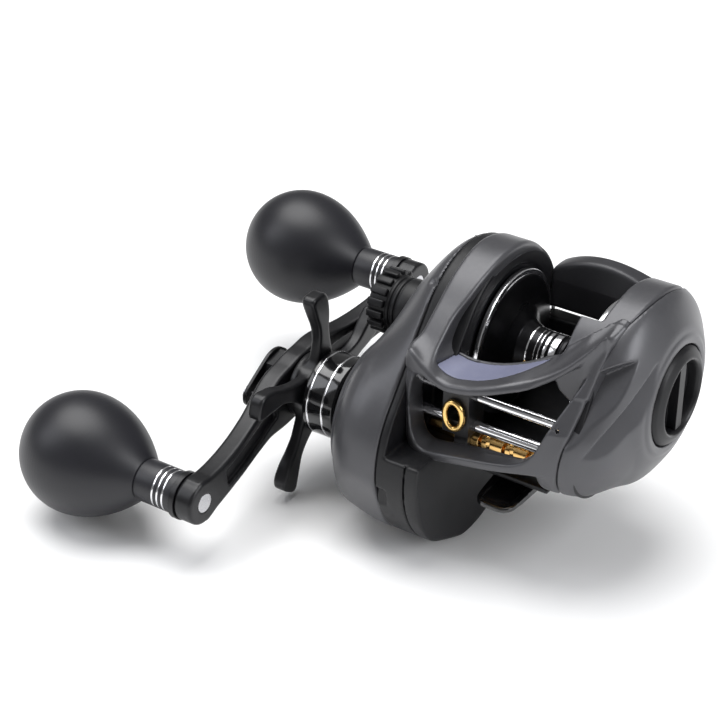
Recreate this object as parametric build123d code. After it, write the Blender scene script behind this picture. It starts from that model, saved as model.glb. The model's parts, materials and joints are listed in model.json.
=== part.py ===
import os
from math import acos, atan2, cos, degrees, hypot, pi, radians, sin, sqrt, tan

from build123d import *

# Low-profile baitcasting reel.  X is the spool axis (+X to the palm side), -Y is the front, where the
# line leaves, and +Z is up.  Parts are drawn about the spool axis and raised onto the foot's seat.

# ---- overall sizes, mm ----
SEAT_DROP = 26.5            # spool axis above the foot's seat
GEAR_CENTRES = 26.6         # spool axis to handle axis
DRIVE_Y = -15.5             # handle axis, forward of the spool axis
HANDLE_SPAN = 95.0          # knob to knob
HANDLE_TILT = 9.4           # handle angle at rest, degrees
WALL = 1.6                  # side plate wall
GAP = 0.3                   # between pieces that move past each other
RUN = 0.05                  # radial clearance of a running fit
SKIN = 0.05                 # gap between pieces bolted together

# ---- frame and spool ----
SPOOL_R = 18.3
SPOOL_HALF = 12.65
FLANGE_T = 1.2
ARBOR_R = 5.2
SPOOL_SHAFT_R = 1.5
HANDLE_WALL_X = -14.0       # face of the frame beside the spool, handle side
FRAME_WALL = 3.0
GEARBOX_X = -25.0           # frame ends, handle side plate starts
FRONT_FLAT = -35.5          # flat front of the frame's gear case
NOSE_X = -21.8              # level-wind bay, handle side
PALM_WALL_X = 16.8          # frame's palm-side wall
PALM_SEAM_X = 19.2          # frame ends, palm side plate starts
RING_R = 24.0               # frame ring about the spool
GEARBOX_R = 25.5            # frame about the handle axis
NOSE_R = 17.0
NOSE_YZ = (-17.0, -8.0)
BOX_WALL = 2.0
BORE_R = SPOOL_R + 0.7      # bore of the frame round the spool
REAR_Y = (19.4, 24.2)       # rear cross wall
STRUT_Y = (17.6, 20.4)
BAY_WALL = 1.7              # box round the level wind
BAY_BACK = -19.0
BAY_FLOOR = -18.9
SCREW_R = 1.0
SCREW_HEAD_R = 1.8
SCREW_HEAD_X = -15.4
SCREW_BOSS = 1.1            # wall round a side plate screw
CASE_SCREW = (0.9, 1.7, 2.1)        # shank, head and recess radius of the gear case's screw
MAGNET_R = 1.9
MAGNET_RING_R = 11.5
MAGNET_COUNT = 8
CARRIER_X = (15.4, 18.2)
CARRIER_R = (16.0, 6.4)
MAGNET_T = 2.0

# ---- foot ----
FOOT_W = 11.0
FOOT_FRONT = -30.5
FOOT_BACK = 29.5
FOOT_T = 2.2
FOOT_TIP_T = 1.2
STEM_FRONT = -16.0
STEM_BACK = 14.0
BRIDGE_Z = -22.0            # underside of the frame's bridge
BRIDGE_T = 2.7

# ---- handle, star and drag ----
KNOB_R = 15.5
KNOB_X = -97.3              # middle of a knob's ball
STEM_X = -77.3              # ball meets stem
STEM_R = 5.35
KNOB_END_X = -66.2
ARM_T = 5.1
ARM_END_X = -59.4           # reel-side face of the arm at the knobs
ARM_SWEEP = 4.3             # the hub stands this much further out
EYE_R = 5.7                 # arm round a knob post
ARM_WAIST = 33.0            # narrowest place, from the handle axis
ARM_WAIST_R = 4.5
ARM_BEND = (12.0, 40.0)     # the sweep starts and ends, from the handle axis
HUB_R = 8.0
POST_R = 2.0
COLLAR_R = 10.7
COLLAR_X = (-57.0, -47.6)
BOOT_X = -43.2
DRIVE_SHAFT_R = 3.0
STAR_R = 27.5
STAR_ARMS = 5
STAR_FIRST = 84.0
STAR_X = (-60.6, -57.4)
STAR_HUB_X = -63.2
STAR_HUB_R = 8.6
STAR_HALF_WIDTHS = (4.2, 2.3, 3.2)     # arm at its root, waist and tip
TENSION_R = 8.4
TENSION_X = (-50.5, -45.0, -38.6)
TENSION_STEP = 1.1          # the collar of the tension knob is this much smaller
TENSION_RIBS = 20
CAP_T = 1.8                 # end wall of the tension knob
BOSS_R = 6.2                # threaded boss under the tension knob
NUT_X = -72.6
THREAD_X = -68.6            # the drive shaft's thread starts
NUT_R = 6.2
NUT_THREAD_R = 2.4
RETAINER_T = 0.8
RETAINER_ARM = 10.0         # retainer screw from the handle axis
RETAINER_SCREW_R = (1.1, 2.0)
POST_END_X = -92.0
POST_COLLAR = 0.4           # wider seat of the knob post in the arm
KNOB_BEARING_R = 4.0
KNOB_BEARING_T = 2.6

# ---- bearings, roller clutch and drag stack ----
BEARING_R = 5.0
DRIVE_BEARING_T = 3.5
BEARING_WALL = 1.8
PALM_BEARING_X = (24.0, 26.4)
PALM_BEARING_R = 5.2
PINION_BEARING_X = (-39.4, -36.6)
CLUTCH_X = (-56.0, -44.0)
CLUTCH_R = 6.9
SLEEVE_X = (-56.6, -43.6)
SLEEVE_R = 4.6
BOOT_STEP_X = -45.6
BOOT_R = (9.2, 10.0)
WASHER_R = 19.2             # drag washers
WASHER_BORE_R = 6.4
WASHER_T = 0.7
KEYED_T = 0.6
PRESSURE_T = 1.4
PLATE_R = 18.4
DRAG_CUP_R = 19.5
DRAG_CUP_DEPTH = 2.0
SPRING_X = -42.6
SPRING_R = 6.0

# ---- gears ----
DRIVE_TEETH = 56
PINION_TEETH = 9
GEAR_X = (-33.0, -29.0)
SHAFT_TEETH = 20
WORM_TEETH = 15
WIND_GEAR_X = (-28.6, -26.4)
PRESSURE_ANGLE = 25.0
BACKLASH = 0.14
PINION_X = (-39.0, -35.0, -26.8, -20.0)     # tail, teeth and neck of the pinion
PINION_TAIL_R = 2.4
PINION_NECK_R = 2.7
PINION_GROOVE_R = 2.1
DRIVE_PIN_X = -20.6         # cross pin of the spool shaft
YOKE_X = (-25.4, -24.4)
YOKE_POSTS = [(0.0, 9.0), (0.0, -9.0)]
YOKE_POST_R = 1.0

# ---- thumb bar ----
THUMB_TRAVEL = 2.5
THUMB_Z = (0.0, 11.5)
THUMB_POST_Y = (19.4, 21.2)
THUMB_POST_Z = (0.5, 4.5)

# ---- level wind ----
WORM_YZ = (-21.0, -14.6)
WORM_R = 2.6
ROD_Y = -24.4
UPPER_ROD_Z = -1.3
LOWER_ROD_Z = -9.2
UPPER_ROD_R = 1.1
LOWER_ROD_R = 1.4
GUIDE_X = -11.8             # line guide at rest
GUIDE_W = 7.0
FOLLOWER_W = 3.6            # part of the guide round the worm
GUIDE_Z = -5.6
EYE_W = 6.2
EYE_H = 8.6
WIRE_R = 0.75
WORM_END_R = 1.4
WORM_LEAD = 6.4
WORM_TURNS = 5
WORM_START = -16.0
PAWL_R = 1.25
PAWL_BORE_R = 1.3

# ---- front cover ----
WINDOW = (-21.8, 16.8, -15.5, 4.2)     # x from, x to, z from, z to
COVER = (-24.9, 19.1, -19.2, 9.6)
COVER_FRONT = -34.0
COVER_BACK = -20.5
LIP_BACK = -26.5
MOUTH_R = 9.0               # corners of the cover
WINDOW_R = 7.0
COVER_BOW_R = 46.0
BAND_T = 1.5                # bands down the flanks
BADGE = (-15.0, 4.0, -31.5, -23.4)     # x from, x to, y from, y to
BADGE_T = 0.5

# ---- palm side ----
DIAL_R = 12.35
DIAL_LIP_R = 9.4
DIAL_X = (28.4, 31.1, 32.6)
INSERT_R = 8.4


def at_angle(centre, radius, angle):
    return (centre[0] + radius * cos(radians(angle)), centre[1] + radius * sin(radians(angle)))


def direction(a, b):
    return degrees(atan2(b[1] - a[1], b[0] - a[0]))


# ---- worked out from the sizes above ----
SPOOL = (0.0, 0.0)
DRIVE = (DRIVE_Y, -sqrt(GEAR_CENTRES**2 - DRIVE_Y**2))
FOOT_TOP = -SEAT_DROP + FOOT_T
WALL_X = HANDLE_WALL_X - FRAME_WALL         # gear side of the frame's wall
KNOBS = [at_angle(DRIVE, HANDLE_SPAN / 2, HANDLE_TILT + turn) for turn in (180, 0)]
HUB_X = ARM_END_X - ARM_SWEEP
SHAFT_END_X = HUB_X - ARM_T
DRIVE_MODULE = 2 * GEAR_CENTRES / (DRIVE_TEETH + PINION_TEETH)
WORM_CENTRES = hypot(WORM_YZ[0] - DRIVE[0], WORM_YZ[1] - DRIVE[1])
WIND_MODULE = 2 * WORM_CENTRES / (SHAFT_TEETH + WORM_TEETH)
WORM_X = (NOSE_X + GAP, PALM_WALL_X - GAP)
WORM_BUSH_R = WORM_R + GAP
PAWL_TOP = WORM_YZ[1] - WORM_R - 0.1
DRAG_FLOOR = GEAR_X[0] + DRAG_CUP_DEPTH
MAGNETS = [at_angle(SPOOL, MAGNET_RING_R, 360 / MAGNET_COUNT * k) for k in range(MAGNET_COUNT)]
SIDE_SCREWS = [
    at_angle(DRIVE, GEARBOX_R + 1.3, -6),
    at_angle(SPOOL, RING_R - 2.4, 75),
    at_angle(SPOOL, RING_R - 2.4, 140),
]


def disc(x0, x1, radius, at=SPOOL):
    """Cylinder along X about the axis at (y, z)."""
    plane = Plane(origin=(x0, at[0], at[1]), x_dir=(0, 1, 0), z_dir=(1, 0, 0))
    return extrude(plane * Circle(radius), amount=x1 - x0)


def ring(x0, x1, outer, inner, at=SPOOL):
    return disc(x0, x1, outer, at) - disc(x0, x1, inner, at)


def block(x0, x1, y0, y1, z0, z1):
    middle = Pos((x0 + x1) / 2, (y0 + y1) / 2, (z0 + z1) / 2)
    return middle * Box(x1 - x0, y1 - y0, z1 - z0)


def turned(points, at=SPOOL):
    """Solid of revolution about X from (x, radius) points."""
    face = make_face(Polyline(*[(x, r) for x, r in points], close=True))
    return Pos(0, at[0], at[1]) * revolve(face, Axis.X)


def egg(x, a, ra, b, rb):
    """Outline round two circles in the plane X = x, as a face."""
    span = hypot(b[0] - a[0], b[1] - a[1])
    base = atan2(b[1] - a[1], b[0] - a[0])
    lean = acos((ra - rb) / span)

    def on(centre, radius, angle):
        return (centre[0] + radius * cos(angle), centre[1] + radius * sin(angle))

    a1 = on(a, ra, base + lean)
    a2 = on(a, ra, base - lean)
    b1 = on(b, rb, base + lean)
    b2 = on(b, rb, base - lean)
    edges = [
        Line(a1, b1),
        ThreePointArc(b1, on(b, rb, base), b2),
        Line(b2, a2),
        ThreePointArc(a2, on(a, ra, base + pi), a1),
    ]
    return Plane.YZ.offset(x) * make_face(edges)


def egg_bar(x0, x1, a, ra, b, rb):
    return extrude(egg(x0, a, ra, b, rb), amount=x1 - x0)


def shell(sections, inset):
    """Loft of egg outlines, each (x, a, ra, b, rb), drawn in by inset."""
    faces = [egg(x, a, ra - inset, b, rb - inset) for x, a, ra, b, rb in sections]
    return loft(faces)


def gear(x0, x1, teeth, module, at, first, bore):
    """Spur gear with involute flanks, a tooth centred on the angle first."""
    pitch = teeth * module / 2
    tip = pitch + 0.7 * module
    root = pitch - 0.95 * module
    base = pitch * cos(radians(PRESSURE_ANGLE))
    half = (pi * module / 2 - BACKLASH) / 2 / pitch
    roll = tan(radians(PRESSURE_ANGLE)) - radians(PRESSURE_ANGLE)
    flank = [(root, half + roll)]
    start = max(base, root + 0.02)
    for step in range(4):
        radius = start + (tip - start) * step / 3
        turn = acos(min(1.0, base / radius))
        flank.append((radius, half + roll - (tan(turn) - turn)))
    points = []
    for tooth in range(teeth):
        middle = radians(first) + 2 * pi * tooth / teeth
        for radius, angle in flank:
            points.append((radius * cos(middle - angle), radius * sin(middle - angle)))
        for radius, angle in reversed(flank):
            points.append((radius * cos(middle + angle), radius * sin(middle + angle)))
    plane = Plane(origin=(x0, at[0], at[1]), x_dir=(0, 1, 0), z_dir=(1, 0, 0))
    blank = extrude(plane * make_face(Polyline(*points, close=True)), amount=x1 - x0)
    return blank - disc(x0, x1, bore, at)


# ---------------------------------------------------------------- frame
def gearbox_outline(x0, x1, grow=0.0):
    return egg_bar(x0, x1, SPOOL, RING_R + grow, DRIVE, GEARBOX_R + grow)


def palm_outline(x0, x1, grow=0.0):
    return egg_bar(x0, x1, SPOOL, RING_R + grow, NOSE_YZ, NOSE_R + grow)


def mouth_space(grow):
    """Room that the front cover takes out of the frame and the side plates."""
    x0, x1, z0, z1 = COVER
    space = rounded(x0 - grow, x1 + grow, z0 - grow, z1 + grow, MOUTH_R, COVER_FRONT - 20, COVER_BACK + grow)
    return space - block(x0 - 5, x1 + 5, LIP_BACK + grow, 0, z0 - 5, WINDOW[3] - grow)


def make_bay():
    """Box round the level wind on the handle side, open to the front and to the spool."""
    top = WINDOW[3] + BAY_WALL
    x1 = WALL_X + 0.5
    outer = block(NOSE_X - BAY_WALL, x1, LIP_BACK + SKIN, BAY_BACK + BAY_WALL, BAY_FLOOR - BAY_WALL, top)
    return outer - bay_room()


def bay_room():
    return block(NOSE_X, HANDLE_WALL_X + 1, -50, BAY_BACK, BAY_FLOOR, WINDOW[3])


def make_frame():
    seat = WALL_X - DRIVE_BEARING_T
    left = gearbox_outline(GEARBOX_X, HANDLE_WALL_X)
    left = left - block(GEARBOX_X - 2, HANDLE_WALL_X + 1, -60, FRONT_FLAT, -60, 20)
    chamber = gearbox_outline(GEARBOX_X - 1, WALL_X, -BOX_WALL) - mouth_space(BOX_WALL)
    left = left - (chamber - block(GEARBOX_X - 2, WALL_X + 1, -60, FRONT_FLAT + BOX_WALL, -60, 20))
    left = left + ring(seat, WALL_X + 0.5, BEARING_R + BEARING_WALL, BEARING_R, DRIVE)
    for y, z in SIDE_SCREWS:
        left = left + disc(GEARBOX_X, WALL_X + 0.5, SCREW_R + SCREW_BOSS, (y, z))
    left = left + make_bay() - bay_room()
    left = left - disc(seat, WALL_X, BEARING_R, DRIVE)
    left = left - disc(GEARBOX_X - 1, seat, DRIVE_SHAFT_R + 2 * GAP, DRIVE)
    left = left - disc(WALL_X - 1, HANDLE_WALL_X + 1, BEARING_R)
    slot = block(WALL_X - 1, HANDLE_WALL_X + 1, THUMB_POST_Y[0] - GAP, THUMB_POST_Y[1] + GAP,
                 THUMB_POST_Z[0] - THUMB_TRAVEL - GAP, THUMB_POST_Z[1] + GAP)
    left = left - slot
    right = palm_outline(PALM_WALL_X, PALM_SEAM_X)
    span = (HANDLE_WALL_X - 0.5, PALM_WALL_X + 0.5)
    rear = block(*span, *REAR_Y, -17.0, THUMB_Z[0] - THUMB_TRAVEL - GAP)
    bridge = block(*span, STEM_FRONT, STRUT_Y[1] + 0.1, BRIDGE_Z, BRIDGE_Z + BRIDGE_T)
    strut = block(*span, *STRUT_Y, BRIDGE_Z + 1, -15.0)
    front = block(*span, LIP_BACK + SKIN, STEM_FRONT + 1, BRIDGE_Z, BRIDGE_Z + 1.3)
    body = left + right + rear + bridge + strut + front
    body = body - disc(HANDLE_WALL_X - 0.6, PALM_SEAM_X + 1, BORE_R)
    body = body - mouth_space(SKIN)
    body = body - rod_bar(UPPER_ROD_Z, UPPER_ROD_R) - rod_bar(LOWER_ROD_Z, LOWER_ROD_R)
    body = body - disc(NOSE_X - 3, PALM_SEAM_X + 1, WORM_BUSH_R, WORM_YZ)
    for y, z in YOKE_POSTS:
        body = body - disc(WALL_X - 1, HANDLE_WALL_X - 0.7, YOKE_POST_R, (y, z))
    for y, z in SIDE_SCREWS:
        body = body - disc(GEARBOX_X - 1, SCREW_HEAD_X, SCREW_R, (y, z))
        body = body - disc(SCREW_HEAD_X, HANDLE_WALL_X + 1, SCREW_HEAD_R, (y, z))
    return body - gearbox_screw(True)


def gearbox_screw(recess):
    """Short screw in the flat front of the gear case, or the screw with its recess."""
    turn = Pos(GEARBOX_X + 2.7, FRONT_FLAT, DRIVE[1] - 4.8) * Rot(90, 0, 0)
    shank, head, room = CASE_SCREW
    screw = turn * (Pos(0, 0, -0.9) * Cylinder(head, 0.8) + Pos(0, 0, -1.5) * Cylinder(shank, 0.6))
    if recess:
        return screw + turn * Cylinder(room, 1.1)
    return screw


def make_foot():
    """Foot plate, thinner to its ends, with a trough along its top and the stem under the bridge."""
    side = [
        (FOOT_FRONT, -SEAT_DROP),
        (FOOT_BACK, -SEAT_DROP),
        (FOOT_BACK, -SEAT_DROP + FOOT_TIP_T),
        (STEM_BACK, FOOT_TOP),
        (STEM_BACK, BRIDGE_Z),
        (STEM_FRONT, BRIDGE_Z),
        (STEM_FRONT, FOOT_TOP),
        (FOOT_FRONT, -SEAT_DROP + FOOT_TIP_T),
    ]
    plate = Pos(-FOOT_W / 2, 0, 0) * extrude(Plane.YZ * make_face(Polyline(*side, close=True)), amount=FOOT_W)
    corners = plate.edges().filter_by(Axis.Z).group_by(Axis.Y)
    return fillet(corners[0] + corners[-1], 3.5)


def rod_bar(z, radius):
    return disc(NOSE_X - 1.2, PALM_WALL_X + 1.6, radius, (ROD_Y, z))


# ---------------------------------------------------------------- side plates
HANDLE_SIDE = [
    (GEARBOX_X, SPOOL, RING_R, DRIVE, GEARBOX_R),
    (-28.0, (-0.8, -0.6), 22.6, DRIVE, GEARBOX_R),
    (-31.5, (-2.5, -2.0), 19.6, DRIVE, GEARBOX_R),
    (-35.0, (-4.0, -3.5), 15.6, DRIVE, 25.2),
    (-39.0, (-6.5, -7.0), 10.5, DRIVE, 23.4),
    (-42.0, (-8.5, -10.0), 7.0, DRIVE, 18.5),
]
PALM_SIDE = [
    (PALM_SEAM_X, SPOOL, RING_R, NOSE_YZ, NOSE_R),
    (22.5, SPOOL, 24.4, (-14.0, -7.0), 15.5),
    (26.0, SPOOL, 22.0, (-8.0, -4.0), 15.0),
    (29.0, SPOOL, 17.0, (-2.0, -1.0), 15.2),
]


def make_side_screw(at):
    shank = disc(GEARBOX_X - 2.5, SCREW_HEAD_X, SCREW_R, at)
    return shank + disc(SCREW_HEAD_X, HANDLE_WALL_X - 0.1, SCREW_HEAD_R, at)


def make_handle_plate():
    outer = shell(HANDLE_SIDE, 0)
    last = HANDLE_SIDE[-1][0]
    inner = shell([(x + WALL if x == last else x, a, ra, b, rb) for x, a, ra, b, rb in HANDLE_SIDE], WALL)
    plate = outer - inner
    seam = (GEARBOX_X - WALL, GEARBOX_X - SKIN)
    front = block(*seam, -60, FRONT_FLAT + BOX_WALL, -60, 20)
    front = front + (mouth_space(0.6) & block(*seam, -60, 0, -60, 60))
    plate = plate + (gearbox_outline(*seam, -WALL / 2) & front)
    plate = plate + disc(BOOT_X, last + 1.0, COLLAR_R + 0.6, DRIVE)
    plate = plate - disc(BOOT_X - 1, -30.0, CLUTCH_R, DRIVE)
    well = TENSION_X[2] + GAP
    plate = plate - disc(TENSION_X[1], well, TENSION_R - TENSION_STEP + GAP)
    plate = plate + disc(well, well + 1.4, TENSION_R + 0.6)
    plate = plate + disc(TENSION_X[1] - 1, -36.6, BOSS_R)
    plate = plate - disc(TENSION_X[1] - 2, -35.0, BEARING_R)
    for y, z in SIDE_SCREWS:
        plate = plate + disc(GEARBOX_X - 3.0, GEARBOX_X - SKIN, SCREW_R + SCREW_BOSS, (y, z))
        plate = plate - disc(GEARBOX_X - 2.5, GEARBOX_X, SCREW_R, (y, z))
    return plate


def make_palm_plate():
    last = PALM_SIDE[-1][0]
    floor = DIAL_X[0] - 0.2
    outer = shell(PALM_SIDE, 0)
    inner = shell([(x - WALL if x == last else x, a, ra, b, rb) for x, a, ra, b, rb in PALM_SIDE], WALL)
    plate = outer - inner
    plate = plate - disc(floor - 1.5, 33.0, DIAL_R + GAP)
    plate = plate + disc(floor - 1.6, floor, DIAL_R + 1.2)
    plate = plate + disc(18.2, PALM_SEAM_X + 1.0, SPOOL_R + 0.6)
    plate = plate + (disc(PALM_SEAM_X + SKIN, PALM_SEAM_X + 1.4, RING_R) - disc(0, 40, SPOOL_R - 1.0))
    plate = plate + disc(CARRIER_X[0] - 0.2, floor - 1.0, CARRIER_R[1])
    plate = plate - disc(15.0, 24.0, 4.0)
    return plate - disc(PALM_BEARING_X[0] - 0.1, PALM_BEARING_X[1], PALM_BEARING_R)


# ---------------------------------------------------------------- front cover
def rounded(x0, x1, z0, z1, radius, y0, y1):
    face = Pos((x0 + x1) / 2, (z0 + z1) / 2) * RectangleRounded(x1 - x0, z1 - z0, radius)
    return extrude(Plane(origin=(0, y1, 0), x_dir=(1, 0, 0), z_dir=(0, -1, 0)) * face, amount=y1 - y0)


def make_front_cover():
    """Grey cover round the line window, with the deck over it and a band down each flank."""
    middle = (COVER[0] + COVER[1]) / 2
    bow = Pos(middle, COVER_FRONT + COVER_BOW_R, 0) * Cylinder(COVER_BOW_R, 80)
    mouth = mouth_space(0) & bow
    mouth = mouth - rounded(*WINDOW, WINDOW_R, COVER_FRONT - 3, COVER_BACK + 1)
    left = gearbox_outline(GEARBOX_X + SKIN, -15.5, BAND_T) - gearbox_outline(GEARBOX_X - 1, -15.0, SKIN)
    right = palm_outline(14.6, PALM_SEAM_X - SKIN, BAND_T) - palm_outline(14.0, PALM_SEAM_X + 1, SKIN)
    keep = block(-40, 40, -50, 8.0, WINDOW[3] + 0.5, 40)
    cover = mouth + (left & keep) + (right & keep)
    return cover - block(*BADGE, COVER[3] - BADGE_T, COVER[3] + 1)


def make_badge():
    x0, x1, y0, y1 = BADGE
    return block(x0 + SKIN, x1 - SKIN, y0 + SKIN, y1 - SKIN, COVER[3] - BADGE_T, COVER[3])


# ---------------------------------------------------------------- spool and its shaft
def make_spool():
    inner = SPOOL_HALF - FLANGE_T
    right = [
        (0, ARBOR_R),
        (7.0, ARBOR_R),
        (9.3, 6.6),
        (10.8, 9.4),
        (inner, 13.0),
        (SPOOL_HALF - 0.5, SPOOL_R - 0.5),
        (SPOOL_HALF, SPOOL_R),
        (SPOOL_HALF + FLANGE_T, SPOOL_R),
        (SPOOL_HALF + FLANGE_T, SPOOL_R - 1.4),
        (SPOOL_HALF, 13.4),
        (11.9, 9.6),
        (10.4, SPOOL_SHAFT_R),
    ]
    left = [(-x, r) for x, r in reversed(right[1:])]
    return turned(right + left)


def make_spool_shaft():
    end = TENSION_X[0] + CAP_T + 0.6
    shaft = disc(end, 26.2, SPOOL_SHAFT_R)
    pin = Pos(DRIVE_PIN_X, 0, 0) * Cylinder(0.6, 4.6)
    return shaft + pin


def make_spool_bearings():
    handle_side = ring(WALL_X, HANDLE_WALL_X - GAP, BEARING_R, SPOOL_SHAFT_R + RUN)
    palm_side = ring(*PALM_BEARING_X, PALM_BEARING_R, SPOOL_SHAFT_R + RUN)
    return [handle_side, palm_side]


def make_magnet_carrier():
    x0 = CARRIER_X[0]
    carrier = ring(*CARRIER_X, *CARRIER_R)
    for centre in MAGNETS:
        carrier = carrier - disc(x0 - 0.4, x0 + MAGNET_T, MAGNET_R, centre)
    return carrier


def make_magnets():
    return [disc(CARRIER_X[0], CARRIER_X[0] + MAGNET_T, MAGNET_R, centre) for centre in MAGNETS]


# ---------------------------------------------------------------- gears, clutch and drag
def make_drive_gear():
    first = direction(DRIVE, SPOOL) + 180 / DRIVE_TEETH
    blank = gear(*GEAR_X, DRIVE_TEETH, DRIVE_MODULE, DRIVE, first, 6.0)
    return blank - disc(GEAR_X[0], DRAG_FLOOR, DRAG_CUP_R, DRIVE)


def make_pinion():
    bore = SPOOL_SHAFT_R + RUN
    end, tail_x, teeth_x, neck_x = PINION_X
    teeth = gear(tail_x, teeth_x, PINION_TEETH, DRIVE_MODULE, SPOOL, direction(SPOOL, DRIVE), bore)
    tail = ring(end, tail_x, PINION_TAIL_R, bore)
    groove = ring(YOKE_X[0] - 0.1, YOKE_X[1] + 0.1, PINION_NECK_R + 0.1, PINION_GROOVE_R)
    neck = ring(teeth_x, neck_x, PINION_NECK_R, bore) - groove
    slot = block(DRIVE_PIN_X - 0.7, neck_x + 1, -0.8, 0.8, -4, 4)
    return teeth + tail + neck - slot


def make_yoke():
    plate = block(*YOKE_X, -3.6, 3.6, -11.6, 11.6)
    bore = PINION_GROOVE_R + RUN
    plate = plate - disc(*YOKE_X, bore) - block(*YOKE_X, 0, 5, -bore, bore)
    for y, z in YOKE_POSTS:
        plate = plate - disc(*YOKE_X, YOKE_POST_R + RUN, (y, z))
    return plate


def make_yoke_posts():
    return [disc(-28.6, HANDLE_WALL_X - 0.7, YOKE_POST_R, post) for post in YOKE_POSTS]


def make_thumb_bar():
    """Bar behind the spool, with a post through the frame wall to the clutch cam."""
    low, high = THUMB_Z
    front = THUMB_POST_Y[0]
    side = [(front, low), (24.6, low), (29.0, high - 5.0), (28.4, high - 2.5), (24.5, high), (front, high - 1.5)]
    bar = extrude(Plane.YZ.offset(HANDLE_WALL_X + GAP) * make_face(Polyline(*side, close=True)),
                  amount=PALM_WALL_X - HANDLE_WALL_X - 2 * GAP)
    post = block(WALL_X - GAP, HANDLE_WALL_X + 1, *THUMB_POST_Y, *THUMB_POST_Z)
    return bar + post


def make_clutch_cam():
    return block(WALL_X - GAP - 1.2, WALL_X - GAP, 7.0, THUMB_POST_Y[1], THUMB_POST_Z[0] - 2, THUMB_POST_Z[1])


def make_drive_shaft():
    thick = disc(THREAD_X, WALL_X - 0.2, DRIVE_SHAFT_R, DRIVE)
    thread = disc(NUT_X + 0.6, THREAD_X, NUT_THREAD_R, DRIVE)
    seat = ring(GEAR_X[1], WIND_GEAR_X[0], 5.0, DRIVE_SHAFT_R, DRIVE)
    return thick + thread + seat


def make_drag_stack():
    """Friction washers, keyed washers and pressure plate, in order from the gear outwards."""
    first = DRAG_FLOOR - WASHER_T
    second = first - KEYED_T
    last = second - WASHER_T
    friction = [ring(x, x + WASHER_T, WASHER_R, WASHER_BORE_R, DRIVE) for x in (first, last)]
    keyed = ring(second, first, WASHER_R - 0.2, DRIVE_SHAFT_R, DRIVE)
    plate = ring(last - PRESSURE_T, last, PLATE_R, DRIVE_SHAFT_R, DRIVE)
    return friction, keyed, plate


def make_drag_springs():
    """Pair of dished washers that the star presses on the sleeve."""
    thick, dish = 0.6, 0.5
    bore = DRIVE_SHAFT_R + RUN
    pair = []
    for x, rise in ((SPRING_X, dish), (SPRING_X + 1.3, -dish)):
        section = [(x, bore), (x + rise, SPRING_R), (x + rise + thick, SPRING_R), (x + thick, bore)]
        pair.append(turned(section, DRIVE))
    return pair


def make_boot():
    narrow = ring(COLLAR_X[1], BOOT_STEP_X, BOOT_R[0], CLUTCH_R, DRIVE)
    return narrow + ring(BOOT_STEP_X, BOOT_X, BOOT_R[1], CLUTCH_R, DRIVE)


def make_star():
    hub = disc(STAR_HUB_X, STAR_X[1], STAR_HUB_R, DRIVE)
    root, waist_r, tip_r = STAR_HALF_WIDTHS
    for k in range(STAR_ARMS):
        angle = STAR_FIRST + 360 / STAR_ARMS * k
        base = at_angle(DRIVE, 6.0, angle)
        waist = at_angle(DRIVE, 17.0, angle)
        tip = at_angle(DRIVE, STAR_R - tip_r, angle)
        hub = hub + egg_bar(*STAR_X, base, root, waist, waist_r)
        hub = hub + egg_bar(*STAR_X, waist, waist_r, tip, tip_r)
    return hub - disc(STAR_HUB_X, STAR_X[1], DRIVE_SHAFT_R + RUN, DRIVE)


# ---------------------------------------------------------------- handle
def make_arm():
    """Swept arm: an outline seen along X, cut to a bent profile seen along its width."""
    outline = disc(SHAFT_END_X, ARM_END_X, HUB_R, DRIVE)
    for knob, turn in zip(KNOBS, (180, 0)):
        waist = at_angle(DRIVE, ARM_WAIST, HANDLE_TILT + turn)
        outline = outline + egg_bar(SHAFT_END_X, ARM_END_X, DRIVE, HUB_R, waist, ARM_WAIST_R)
        outline = outline + egg_bar(SHAFT_END_X, ARM_END_X, waist, ARM_WAIST_R, knob, EYE_R)
    half = HANDLE_SPAN / 2 + EYE_R + 1
    bend = [(ARM_BEND[0], HUB_X), (ARM_BEND[1], ARM_END_X), (half, ARM_END_X)]
    near = [(-u, x) for u, x in reversed(bend)] + bend
    far = [(u, x - ARM_T) for u, x in reversed(near)]
    tilt = radians(HANDLE_TILT)
    plane = Plane(origin=(0, *DRIVE), x_dir=(0, cos(tilt), sin(tilt)), z_dir=(0, -sin(tilt), cos(tilt)))
    profile = plane * make_face(Polyline(*[(u, -x) for u, x in near + far], close=True))
    arm = outline & extrude(profile, amount=12, both=True)
    arm = arm - disc(SHAFT_END_X, HUB_X, DRIVE_SHAFT_R, DRIVE)
    for knob in KNOBS:
        arm = arm - disc(ARM_END_X - ARM_T, ARM_END_X, POST_R + POST_COLLAR, knob)
    return arm


def make_handle_nut():
    plane = Plane(origin=(NUT_X, DRIVE[0], DRIVE[1]), x_dir=(0, 1, 0), z_dir=(1, 0, 0))
    nut = extrude(plane * RegularPolygon(NUT_R, 6, rotation=HANDLE_TILT), amount=SHAFT_END_X - NUT_X)
    return nut - disc(NUT_X + 0.6, SHAFT_END_X, NUT_THREAD_R, DRIVE)


def make_nut_retainer():
    out = at_angle(DRIVE, RETAINER_ARM, HANDLE_TILT + 180)
    plate = egg_bar(NUT_X - RETAINER_T, NUT_X, DRIVE, NUT_R + 0.4, out, 3.0)
    return plate - disc(NUT_X - RETAINER_T, NUT_X, RETAINER_SCREW_R[0], out)


def make_retainer_screw():
    out = at_angle(DRIVE, RETAINER_ARM, HANDLE_TILT + 180)
    shank_r, head_r = RETAINER_SCREW_R
    under_head = NUT_X - RETAINER_T
    return disc(under_head - 0.8, under_head, head_r, out) + disc(under_head, SHAFT_END_X, shank_r, out)


def make_knob_post(knob):
    shank = disc(POST_END_X, ARM_END_X, POST_R, knob)
    collar = disc(ARM_END_X - ARM_T, ARM_END_X, POST_R + POST_COLLAR, knob)
    return shank + collar


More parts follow.
